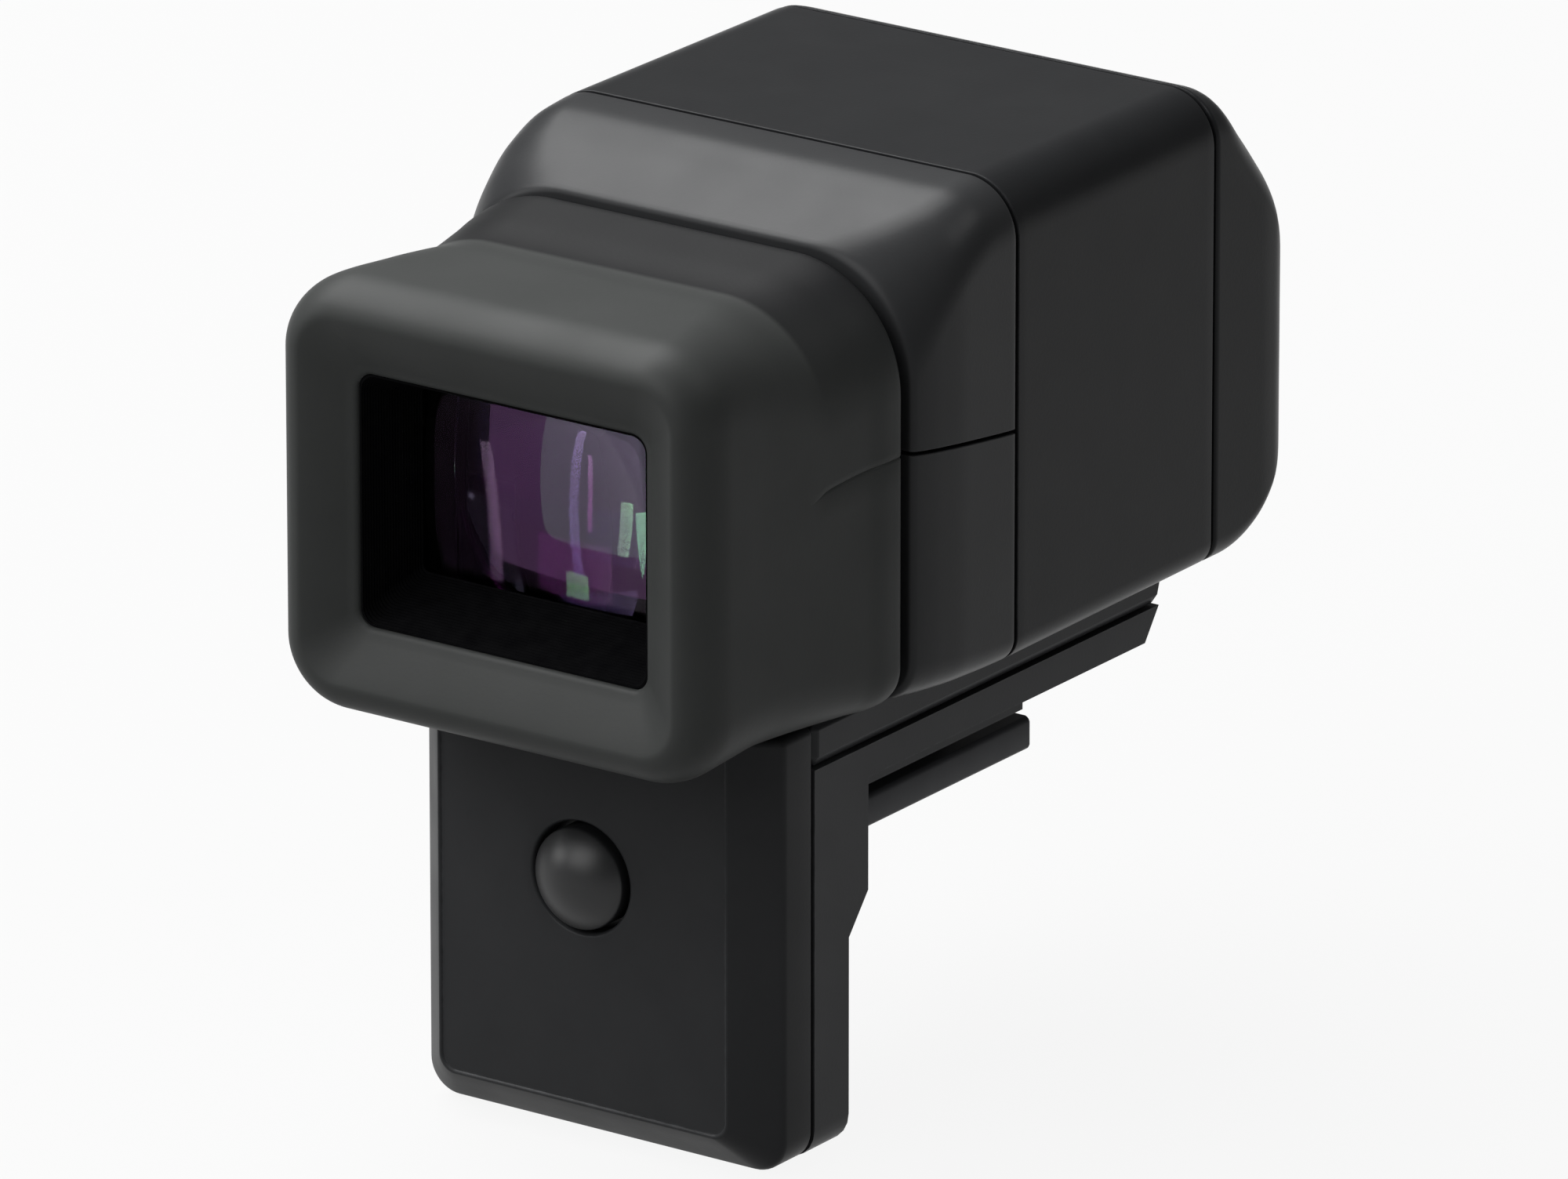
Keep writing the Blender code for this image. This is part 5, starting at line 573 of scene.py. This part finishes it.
def cap_rings(y, inset, shrink=0.0):
    """The far cap's section at each depth, drawn in by an inset, and then towards its own middle by a share.

    Its low edge runs round the hinge axis, under it by the root of the radius squared less the distance squared."""
    half_width = smooth_along(y, cap_marks, [15.3, 15.3, 15.3, 15.3, 15.22, 14.76, 13.6]) - inset
    top = smooth_along(y, cap_marks, 36.3 - 10.5 * np.array([0.0, 0.05, 0.22, 0.38, 0.545, 0.77, 1.0])) - inset
    behind = np.clip(y - hinge_y, 0.0, low_radius_about_hinge - 0.01)
    low = hinge_z - np.sqrt(low_radius_about_hinge ** 2 - behind ** 2) + inset
    rings = upright_rings(y, half_width, low, top, np.maximum(3.0 - inset, 0.3), np.maximum(1.6 - inset, 0.3),
                          corner=20, side=14)
    middle = np.stack([0.0 * y, y, (top + low) / 2.0], axis=1)[:, None, :] * mm
    return middle + (rings - middle) * (1.0 - np.asarray(shrink)).reshape(-1, 1, 1)


out_y = np.concatenate([[cap_seam_y, 17.79, 17.89], np.linspace(18.1, 24.2, 26),
                        cap_far_y - 1.1 * np.cos(np.radians(np.linspace(8.0, 90.0, 9)))])
out_inset = np.concatenate([[0.16, 0.06], np.zeros(36)])
in_y = np.concatenate([np.linspace(23.2, 18.1, 22), [17.8, cap_seam_y]])
in_inset = np.concatenate([np.full(23, shell_wall), [1.2]])
inner_face_y, inner_share = 23.9, np.array([1.0, 0.8, 0.6, 0.4, 0.2, 0.0])
outer_share = np.array([0.06, 0.2, 0.4, 0.6, 0.8, 1.0])
cap_grid = np.concatenate([
    cap_rings(np.full(6, inner_face_y), np.full(6, shell_wall), inner_share), cap_rings(in_y, in_inset),
    cap_rings(out_y, out_inset), cap_rings(np.full(6, cap_far_y), np.zeros(6), outer_share)])
far_cap = skin("far_cap_form", cap_grid, loop=False, poles=True)
carve(far_cap, *hinge_tools())
fit(far_cap, casing_finish, "head", "casing_plastic", "far_cap")

# Eyecup. Soft rubber moulded in one: a dished frame round the window, a flat-topped snout, and a flared collar whose
# top is painted darker, as painted shade. It is pushed on over the optics housing, and its flash line runs back along
# the collar's side.
cup_crest_y, cup_back_y, optic_z = -28.9, -11.2, 20.9
cup_marks = cup_crest_y + (cup_back_y - cup_crest_y) * np.array([0.0, 0.04, 0.11, 0.28, 0.44, 0.58, 0.82, 0.93, 1.0])
flare = np.array([0.0, 0.0, 0.0, 0.05, 0.2, 0.35, 0.7, 1.0, 1.0])
crease_marks = [cup_crest_y, -26.0, -20.0, -18.1, -17.6, -14.5, cup_back_y]
crease_top = [33.2, 33.2, 33.16, 33.06, 33.08, 33.5, 33.94]
lower = np.array([0.0, 0.0, 0.0, 0.0, 0.1, 0.3, 0.8, 1.0, 1.0])
chin = 0.45 * np.array([0.8, 1.0, 1.0, 0.6, 0.0, 0.0, 0.0, 0.0, 0.0])
side_points, bend_points = 19, 25


def cup_rings(y, drawn):
    """The eyecup's outer section at each depth, drawn in by an inset: each size follows its own smooth curve.

    The points of both sides are moved to lie close together at the flash line, where they are sunk as a groove."""
    half_width = smooth_along(y, cup_marks, 14.1 + 0.8 * flare) - drawn
    low = smooth_along(y, cup_marks, head_low - chin) + drawn
    top = smooth_along(y, crease_marks, crease_top) - drawn
    radius = smooth_along(y, [cup_crest_y, -25.8, -22.0, -17.7, cup_back_y], [4.2, 4.3, 5.4, 6.8, 6.9]) - drawn
    low_radius = smooth_along(y, cup_marks, 4.2 - 1.6 * lower) - drawn
    rings = upright_rings(y, half_width, low, top, radius, low_radius, corner=bend_points - 1, side=side_points)
    line = arched_part(y, 0.0)[:, None] * mm
    under, over = rings[:, :1, 2], rings[:, side_points - 1:side_points, 2]
    rise = np.linspace(0.0, 1.0, 8)
    level = np.concatenate([under + (line - 0.13 * mm - under) * rise, line + np.array([-0.045, 0.0, 0.045]) * mm,
                            line + 0.13 * mm + (over - line - 0.13 * mm) * rise], axis=1)
    sunk = np.zeros(side_points)
    sunk[8:11] = 0.05, 0.09, 0.05
    sink = np.clip((y + 19.0) / 1.6, 0.0, 1.0)[:, None] * sunk * mm
    right, left = slice(0, side_points), slice(2 * (side_points + bend_points), 3 * side_points + 2 * bend_points)
    rings[:, right, 2], rings[:, left, 2] = level, level[:, ::-1]
    rings[:, right, 0] -= sink
    rings[:, left, 0] += sink[:, ::-1]
    return rings


def window_rings(y, half_width, half_height, radius):
    """Sections round the optical axis, all corners alike."""
    return upright_rings(y, half_width, optic_z - np.asarray(half_height), optic_z + np.asarray(half_height), radius,
                         radius, corner=bend_points - 1, side=side_points)


roll = np.radians(np.linspace(90.0, 0.0, 18))
crest_y = cup_crest_y + 3.0 * (1.0 - np.sin(roll))
crest_in = 1.9 * (1.0 - np.cos(roll))
body_y = np.concatenate([np.linspace(-25.6, -11.95, 48), [-11.75, -11.57, -11.47, -11.45]])
body_in = np.concatenate([np.zeros(48), [0.02, 0.07, 0.15, 0.26]])
outside = np.concatenate([cup_rings(crest_y, crest_in), cup_rings(body_y, body_in)])
window_y, dish_power = -27.42, 1.2
window_ring = window_rings(window_y, 9.82, 7.52, 1.2)[0]
across = np.linspace(0.0, 1.0, 20)[1:-1, None, None]
dish = window_ring + (outside[0] - window_ring) * across
dish[..., 1] = (window_y - (window_y - cup_crest_y) * (1.0 - (1.0 - across[..., 0]) ** dish_power)) * mm
lip = np.concatenate([window_rings(np.array([-26.3, -26.7, -27.0]), 9.42, 7.12, 0.9),
                      window_rings(np.array([-27.12, -27.23, -27.32, -27.38]), np.array([9.44, 9.5, 9.59, 9.7]),
                                   np.array([7.14, 7.2, 7.29, 7.4]), 1.0)])
pocket = window_rings(np.array([-11.45, -13.0, -18.0, -24.0, -26.2, -26.3]), 12.2, 10.1, 0.9)
cup = skin("eyecup_form", np.concatenate([lip, dish, outside, pocket]))
rubber = moulded("eyecup_rubber", (0.0240, 0.0254, 0.0248), (0.0265, 0.0279, 0.0273), (0.060, 0.063, 0.061),
                 (0.46, 0.52), 0.09, 0.000006, fineness=4200.0, mottle=190.0, wear=0.35)
tree = rubber.node_tree
# Painted shade: behind the crease, over the collar's top only, the rubber's colour is mixed towards near black.
place = wire(tree, "SeparateXYZ", {"Vector": wire(tree, "TexCoord").outputs["Object"]})
behind = wire(tree, "MapRange", {"Value": place.outputs["Y"], "From Min": -17.9 * mm, "From Max": -17.5 * mm})
above = wire(tree, "MapRange", {"Value": place.outputs["Z"], "From Min": 28.0 * mm, "From Max": 33.0 * mm})
collar_shade_mask = wire(tree, "Math", {0: behind, 1: above}, operation="MULTIPLY")
shade = tree.nodes["Principled BSDF"]
painted_collar_shade = wire(tree, "MixRGB", {"Fac": collar_shade_mask, "Color2": (0.0045, 0.0047, 0.0052, 1.0),
                               "Color1": shade.inputs["Base Color"].links[0].from_socket})
tree.links.new(painted_collar_shade.outputs["Color"], shade.inputs["Base Color"])
fit(cup, rubber, "head", "eyecup_rubber", "eyecup")

# Window bezel. A funnel of flocked black plastic from the rubber's lip to the glass, pressed into the housing's front.
# Fine steps across its walls catch stray light, as a lens hood's do.
bezel_mouth_y, bezel_throat_y, bezel_rows, step_depth = -27.05, -22.6, 89, 0.04
bezel_y = np.linspace(bezel_mouth_y, bezel_throat_y, bezel_rows)
fall = (bezel_y - bezel_mouth_y) / (bezel_throat_y - bezel_mouth_y)
step = step_depth * np.abs(np.mod(np.arange(bezel_rows), 4) - 2.0) / 2.0
funnel = window_rings(bezel_y, 9.32 - 0.72 * fall - step, 7.02 - 1.77 * fall - step, 0.9 - 0.45 * fall)
rim_line = np.array([bezel_throat_y, -22.68, -25.9, -26.0, -26.05, bezel_mouth_y])
rim = window_rings(rim_line, np.array([11.82, 11.9, 11.9, 11.82, 9.38, 9.38]),
                   np.array([9.72, 9.8, 9.8, 9.72, 7.08, 7.08]), np.array([0.5, 0.5, 0.5, 0.5, 0.9, 0.9]))
bezel = skin("bezel_form", np.concatenate([funnel, rim]))
flock_finish = moulded("flocked_black", (0.0022, 0.0022, 0.0025), (0.0034, 0.0034, 0.0037), (0.008, 0.008, 0.0085),
                       (0.85, 0.95), 0.0, 0.000004, mottle=800.0, wear=0.2)
fit(bezel, flock_finish, "head", "black_plastic", "window_bezel")


# Eyepiece glass and lenses. A weakly crowned window keeps dust out, and two coated lenses behind it slide to focus.
# The window throws back magenta and the first lens green, and each glass is level towards its corners.
def coated(name, tint, thrown, inside):
    """A coated glass: thrown is the colour of its outer reflections and inside that of its inner ones, and faint
    wiping marks vary the roughness."""
    finish, tree = blank_finish(name)
    place = wire(tree, "TexCoord").outputs["Object"]
    drawn = wire(tree, "Mapping", {"Vector": place, "Scale": (900.0, 900.0, 260.0), "Rotation": (0.0, 0.5, 0.0)})
    wiped = wire(tree, "TexNoise", {"Vector": drawn, "Scale": 1.0, "Detail": 3.0})
    polish = wire(tree, "MapRange", {"Value": wiped, "From Min": 0.35, "From Max": 0.75, "To Min": 0.0,
                                     "To Max": 0.012})
    cloud = wire(tree, "TexNoise", {"Vector": place, "Scale": 160.0, "Detail": 2.0})
    faint = tuple(min(channel * 1.12, 1.0) for channel in tint)
    tone = wire(tree, "MixRGB", {"Fac": cloud, "Color1": (*tint, 1.0), "Color2": (*faint, 1.0)})
    side = wire(tree, "NewGeometry").outputs["Backfacing"]
    coat = wire(tree, "MixRGB", {"Fac": side, "Color1": (*thrown, 1.0), "Color2": (*inside, 1.0)})
    surface(tree, {"Base Color": tone, "Roughness": polish, "IOR": 1.5, "Transmission Weight": 1.0,
                   "Specular Tint": coat})
    return finish


def glass_form(name, half_width, half_height, radius, front, back, front_crown, back_crown, edge):
    """A lens cut to a rounded rectangle: rings shrink to the middle of each face, and the depth of each ring point
    falls from the vertex by a spherical sag, radius of curvature less the root of its square less distance squared.
    Beyond a fixed distance from the axis the face is level. The crowns are the two radii of curvature."""
    shares = np.linspace(0.0, 1.0, 40)[:, None, None]
    level_from = 9.3

    def sag(grid, curve):
        far2 = np.minimum((grid[..., 0] / mm) ** 2 + (grid[..., 2] / mm - optic_z) ** 2, level_from ** 2)
        return curve - np.sqrt(curve * curve - far2)

    ring = window_rings(0.0, half_width - edge, half_height - edge, radius)[0]
    middle = np.array([0.0, 0.0, optic_z]) * mm
    disc = middle + (ring - middle) * shares
    near, far = disc.copy(), disc[::-1].copy()
    near[..., 1] = (front + sag(disc, front_crown)) * mm
    far[..., 1] = (back - sag(disc[::-1], back_crown)) * mm
    rim = window_rings(np.array([0.0, 0.0]), half_width, half_height, radius)
    rim[0, :, 1] = near[-1, :, 1] + edge * mm
    rim[1, :, 1] = far[0, :, 1] - edge * mm
    return skin(name, np.concatenate([near, rim, far]), loop=False, poles=True)


window_coat = coated("window_coating", (0.91, 0.85, 0.96), (0.62, 0.16, 0.74), (0.08, 0.04, 0.09))
green_coat = coated("green_coating", (0.72, 0.68, 0.78), (0.50, 1.0, 0.66), (0.18, 0.03, 0.17))
blue_coat = coated("blue_coating", (0.85, 0.90, 0.95), (0.08, 0.06, 0.17), (0.06, 0.03, 0.11))
fit(glass_form("eyepiece_form", 10.4, 8.3, 0.5, -22.3, -20.75, 62.0, 62.0, 0.06), window_coat, "head",
    "coated_glass", "eyepiece_glass")
fit(glass_form("front_lens_form", 9.1, 7.0, 0.4, -19.2, -14.62, 26.0, 24.0, 0.1), green_coat, "carriage",
    "coated_glass", "front_lens")
fit(glass_form("rear_lens_form", 9.1, 7.0, 0.4, -13.92, -10.58, 80.0, 18.0, 0.1), blue_coat, "carriage",
    "clear_glass", "rear_lens")

# Optics housing, carriage and baffle. Flat black mouldings that hold the lenses and the display in line, with the
# crank that drives the carriage. They are grained to kill reflections, and seen only through the glass.
for node, body in (("optics_housing", "head"), ("field_baffle", "head"), ("display_frame", "head"),
                   ("lens_carriage", "carriage"), ("lens_spacer", "carriage"), ("dial_crank", "dioptre")):
    dress(node, 0.08, black_finish, body, "black_plastic")

# Display and its light. A dark glass panel sits before a diffusing sheet and a lit block, with a socket and a chip
# behind. The panel is smooth and nearly black when it is off.
display_finish = moulded("display_dark", (0.010, 0.010, 0.014), (0.014, 0.013, 0.019), (0.03, 0.03, 0.035),
                         (0.06, 0.12), 0.5, 0.0000002, fineness=9000.0, mottle=300.0, wear=0.2)
white_finish = moulded("diffusing_white", (0.74, 0.74, 0.72), (0.82, 0.82, 0.80), (0.6, 0.6, 0.58), (0.5, 0.62),
                       0.4, 0.000002, mottle=400.0, wear=0.2)
chip_finish = moulded("chip_black", (0.014, 0.014, 0.015), (0.022, 0.022, 0.023), (0.05, 0.05, 0.05), (0.5, 0.66),
                      0.35, 0.000004, fineness=6500.0, mottle=700.0, wear=0.3)
for node, finish, slot in (("display_panel", display_finish, "display_glass"),
                           ("diffuser_sheet", white_finish, "white_plastic"),
                           ("backlight_unit", white_finish, "white_plastic"),
                           ("flex_socket", white_finish, "white_plastic"),
                           ("driver_chip", chip_finish, "chip_plastic")):
    dress(node, 0.05, finish, "head", slot)

# Circuit boards. Glass-epoxy boards under green solder mask, one behind the display and one in the post.
# Copper runs show through the mask as lighter lines on a fine weave.
board_finish, tree = blank_finish("solder_mask")
place = wire(tree, "TexCoord").outputs["Object"]
spun = wire(tree, "Mapping", {"Vector": place, "Rotation": (np.radians(90.0), 0.0, 0.0), "Scale": (420.0,) * 3})
runs = wire(tree, "TexBrick", {"Vector": spun, "Color1": (0.014, 0.085, 0.042, 1.0),
                               "Color2": (0.018, 0.10, 0.050, 1.0), "Mortar": (0.030, 0.17, 0.085, 1.0), "Scale": 1.0,
                               "Mortar Size": 0.06})
weave = wire(tree, "TexNoise", {"Vector": place, "Scale": 4200.0, "Detail": 2.0})
glossy = wire(tree, "MapRange", {"Value": weave, "To Min": 0.28, "To Max": 0.42})
raised = wire(tree, "Bump", {"Distance": 0.000008, "Strength": 0.6, "Height": runs.outputs["Fac"]})
surface(tree, {"Base Color": runs, "Roughness": glossy, "Normal": raised})
for node, body in (("display_board", "head"), ("post_board", "base")):
    dress(node, 0.04, board_finish, body, "circuit_board")

# Ribbon cable. Amber polyimide film with copper tracks along it, from the post's board up into the base.
# It is bent once and lies flat over the chassis.
ribbon_finish, tree = blank_finish("amber_film")
place = wire(tree, "TexCoord").outputs["Object"]
tracks = wire(tree, "TexWave", {"Vector": place, "Scale": 900.0, "Distortion": 0.0}, bands_direction="X")
film = wire(tree, "MixRGB", {"Fac": tracks.outputs["Fac"], "Color1": (0.42, 0.20, 0.035, 1.0),
                             "Color2": (0.58, 0.31, 0.07, 1.0)})
glossy = wire(tree, "MapRange", {"Value": tracks.outputs["Fac"], "To Min": 0.22, "To Max": 0.36})
raised = wire(tree, "Bump", {"Distance": 0.000004, "Strength": 0.5, "Height": tracks.outputs["Fac"]})
surface(tree, {"Base Color": film, "Roughness": glossy, "Normal": raised})
dress("base_ribbon", 0.03, ribbon_finish, "base", "ribbon_film")

# Dioptre wheel. A small wheel on the head's left side, ribbed round its rim for a fingertip.
# It is dark satin plastic, on a shaft that turns the focusing crank.
wheel_line = [(0.0, 0.0), (0.9, 0.0), (1.0, 0.06), (1.06, 0.16), (2.5, 0.16), (2.6, 0.10), (2.7, 0.0), (3.2, 0.0),
              (3.34, 0.02), (3.45, 0.10), (3.5, 0.22), (3.5, 1.0), (3.5, 1.62), (3.4, 1.7), (1.05, 1.7), (1.0, 1.75),
              (1.0, 3.95), (0.95, 4.0), (0.0, 4.0)]
wheel_finish = moulded("wheel_satin", (0.026, 0.026, 0.028), (0.033, 0.033, 0.035), (0.09, 0.09, 0.092),
                       (0.34, 0.46), 0.32, 0.000003, wear=0.8)
wheel = turned("wheel_form", wheel_line, ((-16.3, -6.2, 18.2), (1.0, 0.0, 0.0)), 288, ribs=36, rib_depth=0.16,
               rib_span=(0.05, 1.66))
fit(wheel, wheel_finish, "dioptre", "wheel_plastic", "dioptre_wheel")

# Studio. A long pale floor and a dim even room. Soft boxes stand up behind the left shoulder, up in front and behind
# the right, one strip is mirrored only in satin and gloss, and two only in the glass. The camera is well back.
# The floor takes light as grey paper does, and is mostly plain white to the camera, to gloss and through glass.
floor_half, floor_z = 6.0, -0.0162
floor_mesh = bpy.data.meshes.new("floor")
floor_mesh.from_pydata([(x * floor_half, y * floor_half, floor_z) for x, y in ((-1, -1), (1, -1), (1, 1), (-1, 1))],
                       [], [(0, 1, 2, 3)])
floor = placed("floor", floor_mesh)
floor_finish, tree = blank_finish("floor_white")
paper = wire(tree, "BsdfDiffuse", {"Color": (0.26, 0.26, 0.26, 1.0)})
lit = wire(tree, "Emission", {"Color": (1.0, 1.0, 1.0, 1.0), "Strength": 1.0})
ray = wire(tree, "LightPath")
seen = wire(tree, "Math", {0: ray.outputs["Is Camera Ray"], 1: ray.outputs["Is Glossy Ray"]}, operation="MAXIMUM")
seen = wire(tree, "Math", {0: seen, 1: ray.outputs["Is Transmission Ray"]}, operation="MAXIMUM")
amount = wire(tree, "Math", {0: seen, 1: 0.9}, operation="MULTIPLY")
mixed = wire(tree, "MixShader", {0: amount, 1: paper, 2: lit})
wire(tree, "OutputMaterial", {"Surface": mixed})
floor_mesh.materials.append(floor_finish)

world = bpy.data.worlds.new("studio")
world.use_nodes = True
tree = world.node_tree
tree.nodes.clear()
room = wire(tree, "Background", {"Color": (1.0, 1.0, 1.0, 1.0), "Strength": 0.2})
wire(tree, "OutputWorld", {"Surface": room})
bpy.context.scene.world = world


def direction(azimuth, elevation):
    """A unit vector from the object, where azimuth turns from the front towards the right, both in degrees."""
    turn, rise = np.radians(azimuth), np.radians(elevation)
    return Vector((np.sin(turn) * np.cos(rise), -np.cos(turn) * np.cos(rise), np.sin(rise)))


target = Vector((-0.912 * mm, 0.0, 9.719 * mm))
white, green = (1.0, 1.0, 1.0), (0.34, 1.0, 0.34)
# Angles in degrees, distance, width and height in metres, brightness, colour, and the rays that meet it
for title, azimuth, elevation, distance, width, height, glow, colour, met_by in (
        ("overhead_box", 250.0, 62.0, 0.8, 0.62, 0.62, 9.0, white, "all"),
        ("front_box", -62.0, 46.0, 0.9, 0.42, 0.42, 13.0, white, "all"),
        ("front_fill", -8.0, 36.0, 1.1, 0.8, 0.8, 4.0, white, "all"),
        ("right_box", 122.0, 50.0, 0.9, 0.3, 0.3, 4.0, white, "all"),
        ("left_strip", -52.0, 16.0, 0.5, 0.19, 0.14, 6.0, white, "gloss"),
        ("glass_strip_left", -28.0, 10.0, 0.0888, 0.007, 0.030, 42.0, green, "glass"),
        ("glass_strip_right", -14.3, -1.1, 0.0909, 0.003, 0.044, 20.0, white, "glass")):
    lamp = bpy.data.lights.new(title, "AREA")
    lamp.shape = "RECTANGLE"
    lamp.size = width
    lamp.size_y = height
    lamp.energy = glow * np.pi * width * height
    lamp.color = colour
    box = placed(title, lamp)
    box.location = target + direction(azimuth, elevation) * distance
    box.rotation_euler = direction(azimuth, elevation).to_track_quat("Z", "Y").to_euler()
    box.visible_diffuse = met_by == "all"
    box.visible_glossy = box.visible_camera = met_by != "glass"

lens = bpy.data.cameras.new("camera")
lens.sensor_width = 36.0
lens.lens = 415.8
lens.clip_start = 0.01
lens.clip_end = 50.0
view_azimuth, view_elevation, view_distance = 35.2, 19.3, 983.0
viewed_from = direction(view_azimuth, view_elevation)
camera = placed("camera", lens)
camera.location = target + viewed_from * view_distance * mm
camera.rotation_euler = viewed_from.to_track_quat("Z", "Y").to_euler()
bpy.context.scene.camera = camera
bpy.context.scene.view_settings.view_transform = "Standard"
